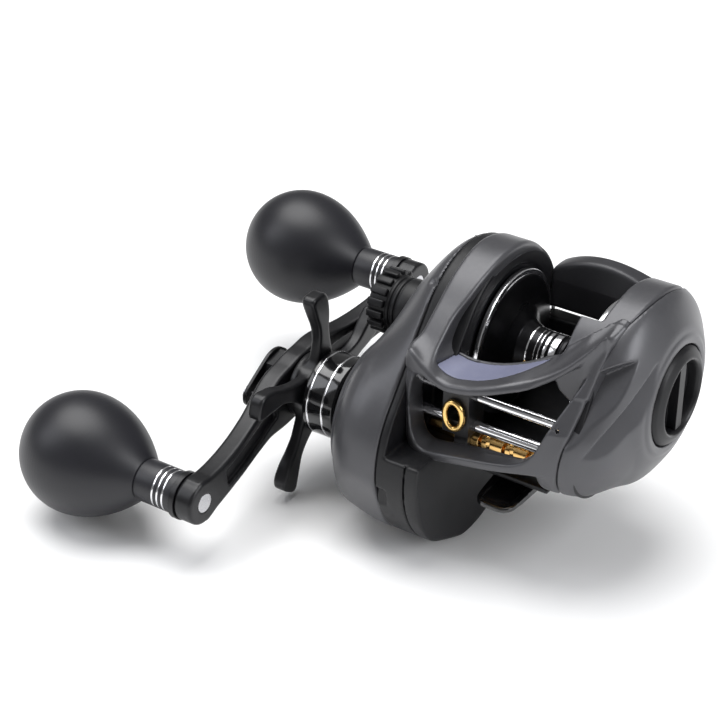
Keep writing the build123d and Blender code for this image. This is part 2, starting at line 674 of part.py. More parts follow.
def make_knob(knob):
    """Egg-shaped power knob with its stem, hollow for the post and its bearing."""
    nose = ThreePointArc((KNOB_X - KNOB_R, 0), (KNOB_X - KNOB_R * sin(pi / 4), KNOB_R * cos(pi / 4)),
                         (KNOB_X, KNOB_R))
    flank = Bezier((KNOB_X, KNOB_R), (KNOB_X + 8.8, KNOB_R), (STEM_X - 4.4, STEM_R + 4.4), (STEM_X, STEM_R))
    stem = Polyline((STEM_X, STEM_R), (KNOB_END_X, STEM_R), (KNOB_END_X, 0), (KNOB_X - KNOB_R, 0))
    solid = revolve(make_face([nose, flank] + stem.edges()), Axis.X)
    hollow = disc(POST_END_X - 0.4, KNOB_END_X, POST_R + RUN)
    hollow = hollow + disc(KNOB_END_X - KNOB_BEARING_T, KNOB_END_X, KNOB_BEARING_R)
    return Pos(0, knob[0], knob[1]) * (solid - hollow)


def make_knob_bearing(knob):
    return ring(KNOB_END_X - KNOB_BEARING_T, KNOB_END_X, KNOB_BEARING_R, POST_R + RUN, knob)


def make_knob_washer(knob):
    return ring(KNOB_END_X + 0.2, ARM_END_X - ARM_T, EYE_R + 0.3, POST_R, knob)


# ---------------------------------------------------------------- tension knob and dial
def make_tension_knob():
    x0, x1, x2 = TENSION_X
    knob = disc(x0, x1, TENSION_R) + disc(x1, x2, TENSION_R - TENSION_STEP)
    for k in range(TENSION_RIBS):
        knob = knob - disc(x0, x1, 0.55, at_angle(SPOOL, TENSION_R + 0.15, 360 / TENSION_RIBS * k))
    return knob - disc(x0 + CAP_T, x2, BOSS_R + RUN)


def make_brake_dial():
    x0, x1, x2 = DIAL_X
    rim = DIAL_R - 0.1
    lip = [(x2, DIAL_LIP_R + 0.6), (x2, DIAL_LIP_R)]
    return turned([(x0, rim), (x1, rim), *lip, (x0 + 1.0, INSERT_R), (x0, INSERT_R)])


def make_dial_insert():
    x0 = DIAL_X[0]
    bar = disc(x0, x0 + 3.4, INSERT_R) & block(x0, x0 + 3.4, -1.4, 1.4, -10, 10)
    return disc(x0, x0 + 1.0, INSERT_R) + bar


# ---------------------------------------------------------------- level wind
def make_worm():
    """Worm with two crossing grooves, cut as chains of short slots along each hand's helix."""
    body = disc(*WORM_X, WORM_R, WORM_YZ)
    ends = disc(WIND_GEAR_X[0], WORM_X[0], WORM_END_R, WORM_YZ)
    ends = ends + disc(WORM_X[1], PALM_SEAM_X - 1, WORM_END_R, WORM_YZ)
    for hand in (1, -1):
        for k in range(WORM_TURNS):
            x = WORM_START + WORM_LEAD * (k + 0.5)
            groove = Pos(x, 0, 0) * Rot(0, 0, 24 * hand) * Rot(0, 90, 0)
            groove = groove * (Cylinder(WORM_R + 1, 0.9) - Cylinder(WORM_R - 0.8, 0.9))
            body = body - Pos(0, WORM_YZ[0], WORM_YZ[1]) * groove
    return body + ends


def make_worm_gear():
    first = direction(WORM_YZ, DRIVE)
    return gear(*WIND_GEAR_X, WORM_TEETH, WIND_MODULE, WORM_YZ, first, WORM_END_R)


def make_wind_gear():
    first = direction(DRIVE, WORM_YZ) + 180 / SHAFT_TEETH
    return gear(*WIND_GEAR_X, SHAFT_TEETH, WIND_MODULE, DRIVE, first, DRIVE_SHAFT_R)


def make_worm_bushings():
    bore = WORM_END_R + RUN
    handle_side = ring(NOSE_X - BAY_WALL, NOSE_X, WORM_BUSH_R, bore, WORM_YZ)
    palm_side = ring(PALM_WALL_X, PALM_SEAM_X, WORM_BUSH_R, bore, WORM_YZ)
    return [handle_side, palm_side]


def make_guide():
    """Line guide block: carries the eye, runs on both rods and rides the worm through its pawl."""
    x0 = GUIDE_X - GUIDE_W / 2
    x1 = GUIDE_X + GUIDE_W / 2
    top = block(x0, x1, -27.6, -20.6, -11.2, 0.8)
    follower = (GUIDE_X - FOLLOWER_W / 2, GUIDE_X + FOLLOWER_W / 2)
    low = disc(*follower, WORM_R + 1.3, WORM_YZ)
    neck = block(*follower, -24.6, -20.6, WORM_YZ[1], -10.0)
    tube = block(*follower, -23.0, -19.2, -20.0, WORM_YZ[1])
    guide = top + low + neck + tube
    guide = guide - disc(x0, x1, WORM_R + 0.1, WORM_YZ)
    guide = guide - disc(x0, x1, UPPER_ROD_R + RUN, (ROD_Y, UPPER_ROD_Z))
    guide = guide - disc(x0, x1, LOWER_ROD_R + RUN, (ROD_Y, LOWER_ROD_Z))
    guide = guide - eye_slot()
    return guide - Pos(GUIDE_X, WORM_YZ[0], PAWL_TOP - 0.9) * Cylinder(PAWL_BORE_R, 4.6)


def eye_slot():
    """Way for the line through the guide, behind the eye."""
    face = RectangleRounded(EYE_W - 2 * WIRE_R, EYE_H - 4.2, 1.4)
    plane = Plane(origin=(GUIDE_X, -18, GUIDE_Z + 0.3), x_dir=(1, 0, 0), z_dir=(0, -1, 0))
    return extrude(plane * face, amount=12)


def make_eye():
    """Oval line eye in front of the block."""
    plane = Plane(origin=(GUIDE_X, -27.7 - WIRE_R, GUIDE_Z), x_dir=(1, 0, 0), z_dir=(0, -1, 0))
    oval = plane * Ellipse(EYE_W / 2 - WIRE_R, EYE_H / 2 - WIRE_R)
    path = oval.edges()[0]
    section = Plane(origin=path @ 0, z_dir=path % 0) * Circle(WIRE_R)
    return sweep(section, path=path)


def make_pawl():
    return Pos(GUIDE_X, WORM_YZ[0], PAWL_TOP - 0.5) * Cylinder(PAWL_R, 1.0)


def make_pawl_cap():
    return Pos(GUIDE_X, WORM_YZ[0], PAWL_TOP - 1.9) * Cylinder(PAWL_BORE_R, 1.8)


# ---------------------------------------------------------------- write the parts
def save(name, shape):
    """Raise a shape, or a list of them, onto the foot's seat and write it."""
    shapes = shape if isinstance(shape, list) else [shape]
    raised = [(Pos(0, 0, SEAT_DROP) * one).solids() for one in shapes]
    solids = [solid for group in raised for solid in group]
    export_step(solids[0] if len(solids) == 1 else Compound(children=solids), f"parts/{name}.step")


def main():
    os.makedirs("parts", exist_ok=True)
    save("frame", make_frame())
    save("reel_foot", make_foot())
    save("handle_side_plate", make_handle_plate())
    save("palm_side_plate", make_palm_plate())
    save("front_cover", make_front_cover())
    save("deck_badge", make_badge())
    save("spool", make_spool())
    save("spool_shaft", make_spool_shaft())
    save("spool_bearings", make_spool_bearings())
    save("magnet_carrier", make_magnet_carrier())
    save("brake_magnets", make_magnets())
    save("drive_gear", make_drive_gear())
    save("pinion_gear", make_pinion())
    save("pinion_bearing", ring(*PINION_BEARING_X, BEARING_R, PINION_TAIL_R + RUN))
    save("clutch_yoke", make_yoke())
    save("yoke_posts", make_yoke_posts())
    save("thumb_bar", make_thumb_bar())
    save("clutch_cam", make_clutch_cam())
    save("drive_shaft", make_drive_shaft())
    friction, keyed, plate = make_drag_stack()
    save("drag_washers", friction)
    save("keyed_washer", keyed)
    save("pressure_plate", plate)
    save("drag_springs", make_drag_springs())
    save("wind_gear", make_wind_gear())
    save("drive_bearing", ring(WALL_X - DRIVE_BEARING_T, WALL_X, BEARING_R, DRIVE_SHAFT_R + RUN, DRIVE))
    save("roller_clutch", ring(*CLUTCH_X, CLUTCH_R, SLEEVE_R + RUN, DRIVE))
    save("drive_sleeve", ring(*SLEEVE_X, SLEEVE_R, DRIVE_SHAFT_R, DRIVE))
    save("drag_collar", ring(*COLLAR_X, COLLAR_R, CLUTCH_R, DRIVE))
    save("collar_boot", make_boot())
    save("star_drag", make_star())
    save("handle_arm", make_arm())
    save("handle_nut", make_handle_nut())
    save("nut_retainer", make_nut_retainer())
    save("retainer_screw", make_retainer_screw())
    for end, knob in zip(("front", "rear"), KNOBS):
        save(f"knob_post_{end}", make_knob_post(knob))
        save(f"knob_washer_{end}", make_knob_washer(knob))
        save(f"knob_bearing_{end}", make_knob_bearing(knob))
        save(f"knob_{end}", make_knob(knob))
    save("tension_knob", make_tension_knob())
    save("tension_shim", disc(TENSION_X[0] + CAP_T, TENSION_X[0] + CAP_T + 0.58, 4.5))
    save("brake_dial", make_brake_dial())
    save("dial_insert", make_dial_insert())
    save("guide_rods", [rod_bar(UPPER_ROD_Z, UPPER_ROD_R), rod_bar(LOWER_ROD_Z, LOWER_ROD_R)])
    save("worm_shaft", make_worm())
    save("worm_gear", make_worm_gear())
    save("worm_bushings", make_worm_bushings())
    save("line_guide", make_guide())
    save("guide_eye", make_eye())
    save("guide_pawl", make_pawl())
    save("pawl_cap", make_pawl_cap())
    save("side_plate_screws", [make_side_screw(at) for at in SIDE_SCREWS])
    save("gearbox_screw", gearbox_screw(False))


main()
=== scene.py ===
import json
import math

import bmesh
import bpy
import numpy as np
from mathutils import Matrix, Vector


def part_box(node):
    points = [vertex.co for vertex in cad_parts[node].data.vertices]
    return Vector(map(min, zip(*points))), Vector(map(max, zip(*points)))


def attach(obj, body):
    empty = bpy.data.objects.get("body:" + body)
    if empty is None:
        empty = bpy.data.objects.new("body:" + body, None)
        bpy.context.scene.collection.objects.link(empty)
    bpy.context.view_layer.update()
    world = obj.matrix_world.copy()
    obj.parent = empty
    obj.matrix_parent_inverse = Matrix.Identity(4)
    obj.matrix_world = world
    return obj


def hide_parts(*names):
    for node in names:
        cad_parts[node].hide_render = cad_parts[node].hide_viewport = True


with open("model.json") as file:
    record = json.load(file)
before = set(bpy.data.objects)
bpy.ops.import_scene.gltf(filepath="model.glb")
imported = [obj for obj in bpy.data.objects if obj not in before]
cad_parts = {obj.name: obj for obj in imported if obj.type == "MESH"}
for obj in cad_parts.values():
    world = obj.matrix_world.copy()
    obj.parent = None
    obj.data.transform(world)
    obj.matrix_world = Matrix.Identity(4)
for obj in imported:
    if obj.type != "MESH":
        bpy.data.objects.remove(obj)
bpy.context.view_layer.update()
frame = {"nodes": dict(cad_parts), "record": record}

# Shapes are drawn in millimetres about the middle of the spool: x along its axis towards the palm side,
# -y to the front and z up.  to_frame() turns such points into metres in the frame of the CAD model.
MM = 0.001
FINE = 1.0


def middle(node):
    low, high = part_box(node)
    return (low + high) / 2


CENTRE = middle("spool")


def spot(node):
    """Middle of a CAD piece in the drawing's millimetres."""
    return tuple((middle(node) - CENTRE) / MM)


def span(node, axis):
    """Lowest and highest value of a CAD piece along an axis, in the drawing's millimetres."""
    low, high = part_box(node)
    return (low[axis] - CENTRE[axis]) / MM, (high[axis] - CENTRE[axis]) / MM


X, Y, Z = 0, 1, 2
SPOOL = (0.0, 0.0)
DRIVE = spot("drive_gear")[1:]
KNOBS = {"front": spot("knob_front")[1:], "rear": spot("knob_rear")[1:]}
SEAM_X = span("handle_side_plate", X)[1] - 0.5      # handle side plate meets the frame
RING_R = 24.0           # frame round the spool
CASE_R = 25.5           # gear case round the handle's axis
ARM_TILT = math.atan2(KNOBS["rear"][1] - DRIVE[1], KNOBS["rear"][0] - DRIVE[0])


# ---------------------------------------------------------------- distance fields
def merge(a, b, soft=0.6):
    """Union with a fillet."""
    share = np.clip(0.5 + 0.5 * (b - a) / soft, 0, 1)
    return b + (a - b) * share - soft * share * (1 - share)


def common(a, b, soft=0.6):
    """Intersection with a rounded edge."""
    return -merge(-a, -b, soft)


def cut(a, b, soft=0.6):
    return common(a, -b, soft)


def between(v, low, high):
    return np.maximum(low - v, v - high)


def wheel(p, radius, at=SPOOL):
    return np.hypot(p[1] - at[0], p[2] - at[1]) - radius


def brick(p, x0, x1, y0, y1, z0, z1, round_by=0.5):
    sides = []
    for v, low, high in zip(p, (x0, y0, z0), (x1, y1, z1)):
        sides.append(np.abs(v - (low + high) / 2) - (high - low) / 2 + round_by)
    out = np.sqrt(sum(np.maximum(s, 0) ** 2 for s in sides))
    return out + np.minimum(np.maximum(np.maximum(sides[0], sides[1]), sides[2]), 0) - round_by


def bean(y, z, a, ra, b, rb):
    """Outline pulled tight round two circles."""
    dy, dz = b[0] - a[0], b[1] - a[1]
    reach = np.hypot(dy, dz)
    along = ((y - a[0]) * dy + (z - a[1]) * dz) / reach
    side = np.abs((y - a[0]) * dz - (z - a[1]) * dy) / reach
    lean = np.clip((ra - rb) / reach, -0.999, 0.999)
    rise = np.sqrt(1 - lean**2)
    run = rise * along - lean * side
    flank = rise * side + lean * along - ra
    far = np.where(run > rise * reach, np.hypot(side, along - reach) - rb, flank)
    return np.where(run < 0, np.hypot(side, along) - ra, far)


def flow(v, knots, values):
    """Smooth curve through pairs of knot and value, level beyond its ends."""
    knots, values = np.asarray(knots, float), np.asarray(values, float)
    slope = np.gradient(values, knots)
    v = np.clip(v, knots[0], knots[-1])
    k = np.clip(np.searchsorted(knots, v) - 1, 0, len(knots) - 2)
    step = knots[k + 1] - knots[k]
    t = (v - knots[k]) / step
    start = (2 * t**3 - 3 * t**2 + 1) * values[k] + (t**3 - 2 * t**2 + t) * step * slope[k]
    return start + (3 * t**2 - 2 * t**3) * values[k + 1] + (t**3 - t**2) * step * slope[k + 1]


def facing(p, point, normal):
    """Distance in front of a plane."""
    n = np.array(normal, float) / np.linalg.norm(normal)
    return sum((v - c) * k for v, c, k in zip(p, point, n))


def swing(p, at, angle):
    """Distances along and across a direction in the plane of y and z, from a point."""
    y, z = p[1] - at[0], p[2] - at[1]
    return y * math.cos(angle) + z * math.sin(angle), z * math.cos(angle) - y * math.sin(angle)


def rod(p, a, b, radius):
    """Round bar with ball ends between two points."""
    a, b = np.array(a, float), np.array(b, float)
    d = b - a
    t = sum((v - c) * k for v, c, k in zip(p, a, d)) / d.dot(d)
    t = np.clip(t, 0, 1)
    return np.sqrt(sum((v - c - k * t) ** 2 for v, c, k in zip(p, a, d))) - radius


# ---------------------------------------------------------------- meshes
def to_frame(points):
    return np.asarray(points) * MM + np.array(CENTRE)


def piece(name, points, faces, material, body, nodes=(), smooth=35.0):
    """Mesh of millimetre points as a finished piece that rides on a body."""
    mesh = bpy.data.meshes.new(name)
    mesh.from_pydata(to_frame(points).tolist(), [], faces if isinstance(faces, list) else faces.tolist())
    mesh.validate()
    mesh.shade_smooth()
    mesh.set_sharp_from_angle(angle=math.radians(smooth))
    obj = bpy.data.objects.new(name, mesh)
    bpy.context.scene.collection.objects.link(obj)
    for one in material if isinstance(material, (list, tuple)) else [material]:
        mesh.materials.append(one)
    return settle_in(obj, body, nodes)


def settle_in(obj, body, nodes):
    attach(obj, body)
    if nodes:
        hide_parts(*nodes)
    return obj


def skin(field, low, high, step):
    """Points and quads over the surface where the field is zero; inside is negative."""
    marks = [np.arange(a, b + step, step) for a, b in zip(low, high)]
    value = field(np.meshgrid(*marks, indexing="ij")).astype(np.float32)
    inside = value < 0
    cells = tuple(n - 1 for n in value.shape)
    total = np.zeros(cells + (3,), np.float32)
    count = np.zeros(cells, np.int16)
    for axis in range(3):
        u, v = [k for k in range(3) if k != axis]
        for du in (0, 1):
            for dv in (0, 1):
                near = [slice(0, n) for n in cells]
                near[u] = slice(du, cells[u] + du)
                near[v] = slice(dv, cells[v] + dv)
                far = list(near)
                far[axis] = slice(1, cells[axis] + 1)
                a, b = value[tuple(near)], value[tuple(far)]
                cross = inside[tuple(near)] != inside[tuple(far)]
                total[..., axis] += np.where(cross, a / np.where(cross, a - b, 1), 0)
                total[..., u] += cross * du
                total[..., v] += cross * dv
                count += cross
    live = count > 0
    number = np.full(cells, -1)
    number[live] = np.arange(live.sum())
    points = (np.argwhere(live) + total[live] / count[live][:, None]) * step + np.array(low)
    faces = []
    for axis in range(3):
        u, v = (axis + 1) % 3, (axis + 2) % 3
        near = [slice(None)] * 3
        near[axis] = slice(0, cells[axis])
        near[u], near[v] = slice(1, cells[u]), slice(1, cells[v])
        far = list(near)
        far[axis] = slice(1, cells[axis] + 1)
        a, b = inside[tuple(near)], inside[tuple(far)]
        at = np.argwhere(a != b)
        rising = a[a != b]
        corners = []
        for du, dv in ((0, 0), (1, 0), (1, 1), (0, 1)):
            cell = at.copy()
            cell[:, u] += du
            cell[:, v] += dv
            corners.append(number[tuple(cell.T)])
        quads = np.stack(corners, 1)
        quads[~rising] = quads[~rising][:, ::-1]
        faces.append(quads)
    return points, np.concatenate(faces)


def draw_in(field, points, step):
    """Moves points onto the field's surface, along its slope."""
    reach = step / 4
    for _ in range(3):
        value = field(points.T)
        slope = []
        for axis in range(3):
            shift = np.zeros((3, 1))
            shift[axis] = reach
            slope.append((field(points.T + shift) - field(points.T - shift)) / (2 * reach))
        slope = np.stack(slope, 1)
        move = slope * (value / np.maximum((slope**2).sum(1), 0.1))[:, None]
        size = np.linalg.norm(move, axis=1, keepdims=True)
        points = points - move * np.minimum(1, step / 2 / np.maximum(size, 1e-9))
    return points


def cast(name, field, low, high, step, material, body, nodes=(), smooth=60.0):
    """Piece whose surface is a distance field's."""
    step = step * FINE
    points, faces = skin(field, low, high, step)
    points = draw_in(field, points, step)
    return piece(name, points, faces, material, body, nodes, smooth)


def soften(points, by=0.3, steps=3):
    """Rounds the inner corners of a line of points."""
    line = [points[0]]
    for before, corner, after in zip(points, points[1:], points[2:]):
        a, c, b = (np.array(q, float) for q in (before, corner, after))
        near = min(by, np.linalg.norm(a - c) * 0.45)
        past = min(by, np.linalg.norm(b - c) * 0.45)
        start = c + (a - c) / max(np.linalg.norm(a - c), 1e-9) * near
        end = c + (b - c) / max(np.linalg.norm(b - c), 1e-9) * past
        for k in range(steps + 1):
            t = k / steps
            line.append(tuple(start * (1 - t) ** 2 + 2 * c * t * (1 - t) + end * t**2))
    line.append(points[-1])
    return line


def turned(name, profile, at, material, body, nodes=(), by=0.3, around=128, bands=None):
    """Solid of revolution about x from (x, radius) points; bands gives a material number by x and radius."""
    line = soften(profile, by)
    angles = np.linspace(0, 2 * math.pi, around, endpoint=False)
    points, rings = [], []
    for x, radius in line:
        if radius < 1e-6:
            rings.append([len(points)] * around)
            points.append((x, at[0], at[1]))
            continue
        rings.append(list(range(len(points), len(points) + around)))
        points += [(x, at[0] + radius * math.cos(a), at[1] + radius * math.sin(a)) for a in angles]
    if line[0][1] > 1e-6 and line[-1] == line[0]:
        rings[-1] = rings[0]
    faces, numbers = [], []
    for (one, two), (p, q) in zip(zip(rings, rings[1:]), zip(line, line[1:])):
        for k in range(around):
            m = (k + 1) % around
            quad = [one[k], one[m], two[m], two[k]]
            face = list(dict.fromkeys(quad))
            if len(face) > 2:
                faces.append(face)
                numbers.append(bands((p[0] + q[0]) / 2, (p[1] + q[1]) / 2) if bands else 0)
    obj = piece(name, points, faces, material, body, nodes, 38.0)
    if len(obj.data.polygons) == len(numbers):
        obj.data.polygons.foreach_set("material_index", numbers)
    close_up(obj)
    return obj


def close_up(obj):
    """Merges doubles, drops loose points and turns the faces outwards."""
    mesh = bmesh.new()
    mesh.from_mesh(obj.data)
    bmesh.ops.remove_doubles(mesh, verts=mesh.verts, dist=1e-7)
    loose = [v for v in mesh.verts if not v.link_faces]
    bmesh.ops.delete(mesh, geom=loose, context="VERTS")
    bmesh.ops.recalc_face_normals(mesh, faces=mesh.faces)
    mesh.to_mesh(obj.data)
    mesh.free()


# ---------------------------------------------------------------- shader groups
def socket(group, name, kind, way="INPUT", value=None):
    made = group.interface.new_socket(name, in_out=way, socket_type=kind)
    if value is not None:
        made.default_value = value
    return made


def shader_group(name, inputs, outputs):
    group = bpy.data.node_groups.new(name, "ShaderNodeTree")
    for label, kind, value in inputs:
        socket(group, label, kind, "INPUT", value)
    for label, kind in outputs:
        socket(group, label, kind, "OUTPUT")
    start = group.nodes.new("NodeGroupInput")
    end = group.nodes.new("NodeGroupOutput")
    return group, start, end


def arithmetic(group, kind, a, b=0.5, clamp=False):
    node = group.nodes.new("ShaderNodeMath")
    node.operation = kind
    node.use_clamp = clamp
    for put, value in zip(node.inputs, (a, b)):
        if isinstance(value, (int, float)):
            put.default_value = value
        else:
            group.links.new(value, put)
    return node.outputs[0]


def noise_at(group, scale, detail=3.0, stretch=None):
    place = group.nodes.new("ShaderNodeTexCoord").outputs["Object"]
    if stretch:
        mapping = group.nodes.new("ShaderNodeMapping")
        mapping.inputs["Scale"].default_value = stretch
        group.links.new(place, mapping.inputs["Vector"])
        place = mapping.outputs[0]
    node = group.nodes.new("ShaderNodeTexNoise")
    node.inputs["Detail"].default_value = detail
    group.links.new(place, node.inputs["Vector"])
    if isinstance(scale, (int, float)):
        node.inputs["Scale"].default_value = scale
    else:
        group.links.new(scale, node.inputs["Scale"])
    return node.outputs["Fac"]


def make_edge_wear():
    """Mask that is 1 along convex edges, broken up by noise."""
    group, start, end = shader_group(
        "edge_wear",
        [("Radius", "NodeSocketFloat", 0.0003), ("Break", "NodeSocketFloat", 900.0),
         ("Amount", "NodeSocketFloat", 1.0)],
        [("Mask", "NodeSocketFloat")],
    )
    bevel = group.nodes.new("ShaderNodeBevel")
    bevel.samples = 4
    group.links.new(start.outputs["Radius"], bevel.inputs["Radius"])
    flat = group.nodes.new("ShaderNodeNewGeometry")
    dot = group.nodes.new("ShaderNodeVectorMath")
    dot.operation = "DOT_PRODUCT"
    group.links.new(bevel.outputs[0], dot.inputs[0])
    group.links.new(flat.outputs["Normal"], dot.inputs[1])
    edge = arithmetic(group, "SUBTRACT", 1.0, dot.outputs["Value"])
    edge = arithmetic(group, "MULTIPLY", edge, 9.0, True)
    broken = noise_at(group, start.outputs["Break"], 4.0)
    broken = arithmetic(group, "SUBTRACT", broken, 0.36)
    broken = arithmetic(group, "MULTIPLY", broken, 3.4, True)
    mask = arithmetic(group, "MULTIPLY", edge, broken)
    mask = arithmetic(group, "MULTIPLY", mask, start.outputs["Amount"], True)
    group.links.new(mask, end.inputs["Mask"])
    return group


def make_grain():
    """Fine surface grain: a height for bump, and a slow drift for roughness."""
    group, start, end = shader_group(
        "grain",
        [("Scale", "NodeSocketFloat", 4000.0), ("Drift Scale", "NodeSocketFloat", 120.0)],
        [("Height", "NodeSocketFloat"), ("Drift", "NodeSocketFloat")],
    )
    group.links.new(noise_at(group, start.outputs["Scale"], 4.0), end.inputs["Height"])
    group.links.new(noise_at(group, start.outputs["Drift Scale"], 3.0), end.inputs["Drift"])
    return group


def make_dust():
    """Light dust mask on faces that look up."""
    group, start, end = shader_group(
        "dust", [("Amount", "NodeSocketFloat", 0.2)], [("Mask", "NodeSocketFloat")]
    )
    geometry = group.nodes.new("ShaderNodeNewGeometry")
    split = group.nodes.new("ShaderNodeSeparateXYZ")
    group.links.new(geometry.outputs["Normal"], split.inputs[0])
    up = arithmetic(group, "MULTIPLY", split.outputs["Z"], 1.0, True)
    spots = noise_at(group, 700.0, 6.0)
    spots = arithmetic(group, "SUBTRACT", spots, 0.45)
    spots = arithmetic(group, "MULTIPLY", spots, 2.5, True)
    mask = arithmetic(group, "MULTIPLY", up, spots)
    group.links.new(arithmetic(group, "MULTIPLY", mask, start.outputs["Amount"], True), end.inputs["Mask"])
    return group


EDGE_WEAR = make_edge_wear()
DUST_COLOUR = (0.4, 0.39, 0.37)
GRAIN = make_grain()
DUST = make_dust()


def blend_colour(nodes, links, mask, a, b):
    mix = nodes.new("ShaderNodeMix")
    mix.data_type = "RGBA"
    links.new(mask, mix.inputs["Factor"])
    for put, value in ((mix.inputs["A"], a), (mix.inputs["B"], b)):
        if isinstance(value, tuple):
            put.default_value = (*value, 1)
        else:
            links.new(value, put)
    return mix.outputs["Result"]


def finish(name, colour, rough, metal=0.0, worn=None, wear=0.6, wear_radius=0.25, grain=4000.0, bump=0.08,
           vary=0.12, dust=0.12, coat=0.0, coat_rough=0.1, specular=0.5, brushed=None, lift=0.12):
    """Painted, moulded or machined finish with grain, colour drift, edge wear and a little dust."""
    material = bpy.data.materials.new(name)
    material.use_nodes = True
    tree = material.node_tree
    nodes, links = tree.nodes, tree.links
    shader = nodes["Principled BSDF"]
    shader.inputs["Metallic"].default_value = metal
    shader.inputs["Specular IOR Level"].default_value = specular
    shader.inputs["Coat Weight"].default_value = coat
    shader.inputs["Coat Roughness"].default_value = coat_rough

    fine = nodes.new("ShaderNodeGroup")
    fine.node_tree = GRAIN
    fine.inputs["Scale"].default_value = grain
    dusty = nodes.new("ShaderNodeGroup")
    dusty.node_tree = DUST
    dusty.inputs["Amount"].default_value = dust
    edge = nodes.new("ShaderNodeGroup")
    edge.node_tree = EDGE_WEAR
    edge.inputs["Radius"].default_value = wear_radius * MM
    edge.inputs["Amount"].default_value = wear

    low = tuple(c * (1 - lift) for c in colour)
    high = tuple(min(1, c * (1 + lift)) for c in colour)
    base = blend_colour(nodes, links, fine.outputs["Drift"], low, high)
    rubbed = worn or tuple(min(1, c * 2.2) for c in colour)
    base = blend_colour(nodes, links, edge.outputs["Mask"], base, rubbed)
    base = blend_colour(nodes, links, dusty.outputs["Mask"], base, DUST_COLOUR)
    links.new(base, shader.inputs["Base Color"])

    height = fine.outputs["Height"]
    if brushed:
        height = noise_at(tree, 900.0, 5.0, brushed)
    spread = nodes.new("ShaderNodeMapRange")
    spread.inputs["To Min"].default_value = max(0.02, rough - vary)
    spread.inputs["To Max"].default_value = min(1.0, rough + vary)
    links.new(height if brushed else fine.outputs["Drift"], spread.inputs["Value"])
    links.new(spread.outputs["Result"], shader.inputs["Roughness"])

    raised = nodes.new("ShaderNodeBump")
    raised.inputs["Strength"].default_value = bump
    raised.inputs["Distance"].default_value = 0.00005
    links.new(height, raised.inputs["Height"])
    rounded = nodes.new("ShaderNodeBevel")
    rounded.samples = 4
    rounded.inputs["Radius"].default_value = 0.00018
    links.new(rounded.outputs["Normal"], raised.inputs["Normal"])
    links.new(raised.outputs["Normal"], shader.inputs["Normal"])
    return material


SHELL = finish("graphite_paint", (0.062, 0.062, 0.068), 0.4, 0.35, worn=(0.16, 0.16, 0.17), wear=0.25,
               wear_radius=0.25, grain=9000, bump=0.03, vary=0.05, coat=0.2, coat_rough=0.25, dust=0.03)
CASE = finish("black_case", (0.0055, 0.0055, 0.0068), 0.44, worn=(0.03, 0.03, 0.033), wear=0.4,
              grain=6500, bump=0.08, vary=0.06, dust=0.02, specular=0.32)
ARM_BLACK = finish("arm_anodised", (0.008, 0.008, 0.0095), 0.34, 0.3, worn=(0.06, 0.06, 0.065), wear=0.35,
                   grain=8000, bump=0.04, vary=0.05, dust=0.02)
GLOSS = finish("gloss_black", (0.006, 0.006, 0.007), 0.12, 0.3, worn=(0.2, 0.2, 0.2), wear=0.15,
               grain=7000, bump=0.02, vary=0.04, coat=0.6, coat_rough=0.06, dust=0.06)
KNOB = finish("knob_rubber", (0.0075, 0.0075, 0.011), 0.42, worn=(0.02, 0.02, 0.026), wear=0.15,
              grain=7500, bump=0.05, vary=0.04, dust=0.0, specular=0.5)
STEEL = finish("turned_steel", (0.56, 0.56, 0.58), 0.26, 1.0, wear=0.1,
               grain=9000, bump=0.1, vary=0.1, dust=0.04, brushed=(0.05, 1, 1), lift=0.06)
SILVER = finish("bright_silver", (0.8, 0.8, 0.82), 0.16, 1.0, wear=0.0,
                grain=9000, bump=0.04, vary=0.06, dust=0.03, brushed=(0.05, 1, 1), lift=0.05)
CHROME = finish("rod_chrome", (0.86, 0.86, 0.88), 0.06, 1.0, wear=0.0,
                grain=9000, bump=0.03, vary=0.03, dust=0.03, lift=0.03)
BRASS = finish("worm_brass", (0.72, 0.46, 0.17), 0.2, 1.0, worn=(0.9, 0.7, 0.4), wear=0.5,
               grain=9000, bump=0.05, vary=0.07, dust=0.03, lift=0.1)
GOLD = finish("eye_gold", (0.83, 0.55, 0.2), 0.22, 1.0, worn=(1.0, 0.85, 0.55), wear=0.4,
              grain=9000, bump=0.04, vary=0.06, dust=0.02, lift=0.12)
BADGE = finish("badge_lavender", (0.15, 0.158, 0.235), 0.5, 0.1, worn=(0.3, 0.3, 0.36), wear=0.1,
               grain=8000, bump=0.03, vary=0.05, dust=0.06)
SPOOL_BLACK = finish("spool_anodised", (0.0085, 0.0085, 0.01), 0.3, 0.75, worn=(0.2, 0.2, 0.2), wear=0.2,
                     grain=9000, bump=0.08, vary=0.08, dust=0.03, brushed=(1, 0.05, 0.05))
GUIDE = finish("guide_nylon", (0.008, 0.008, 0.0095), 0.46, wear=0.3, grain=6000, bump=0.08, dust=0.0)
CARBON = finish("drag_carbon", (0.03, 0.03, 0.03), 0.55, wear=0.1, grain=5000, bump=0.3)
THUMB = finish("thumb_grey", (0.03, 0.03, 0.034), 0.42, 0.2, worn=(0.08, 0.08, 0.085), wear=0.3,
               grain=7000, bump=0.06, vary=0.05, dust=0.02)

BY_SLOT = {
    "black_body": CASE, "grey_shell": SHELL, "badge": BADGE, "gloss_black": GLOSS, "satin_black": ARM_BLACK,
    "spool_black": SPOOL_BLACK, "steel": STEEL, "chrome_rod": CHROME, "brass": BRASS, "gold_eye": GOLD,
    "knob_rubber": KNOB, "guide_plastic": GUIDE, "carbon": CARBON,
}


def dress_nodes():
    """Gives each CAD piece the material of its slot."""
    slots = {part["node"]: part["material_slot"] for part in frame["record"]["subparts"]}
    for name, obj in frame["nodes"].items():
        obj.data.materials.clear()
        obj.data.materials.append(BY_SLOT[slots[name]])


dress_nodes()


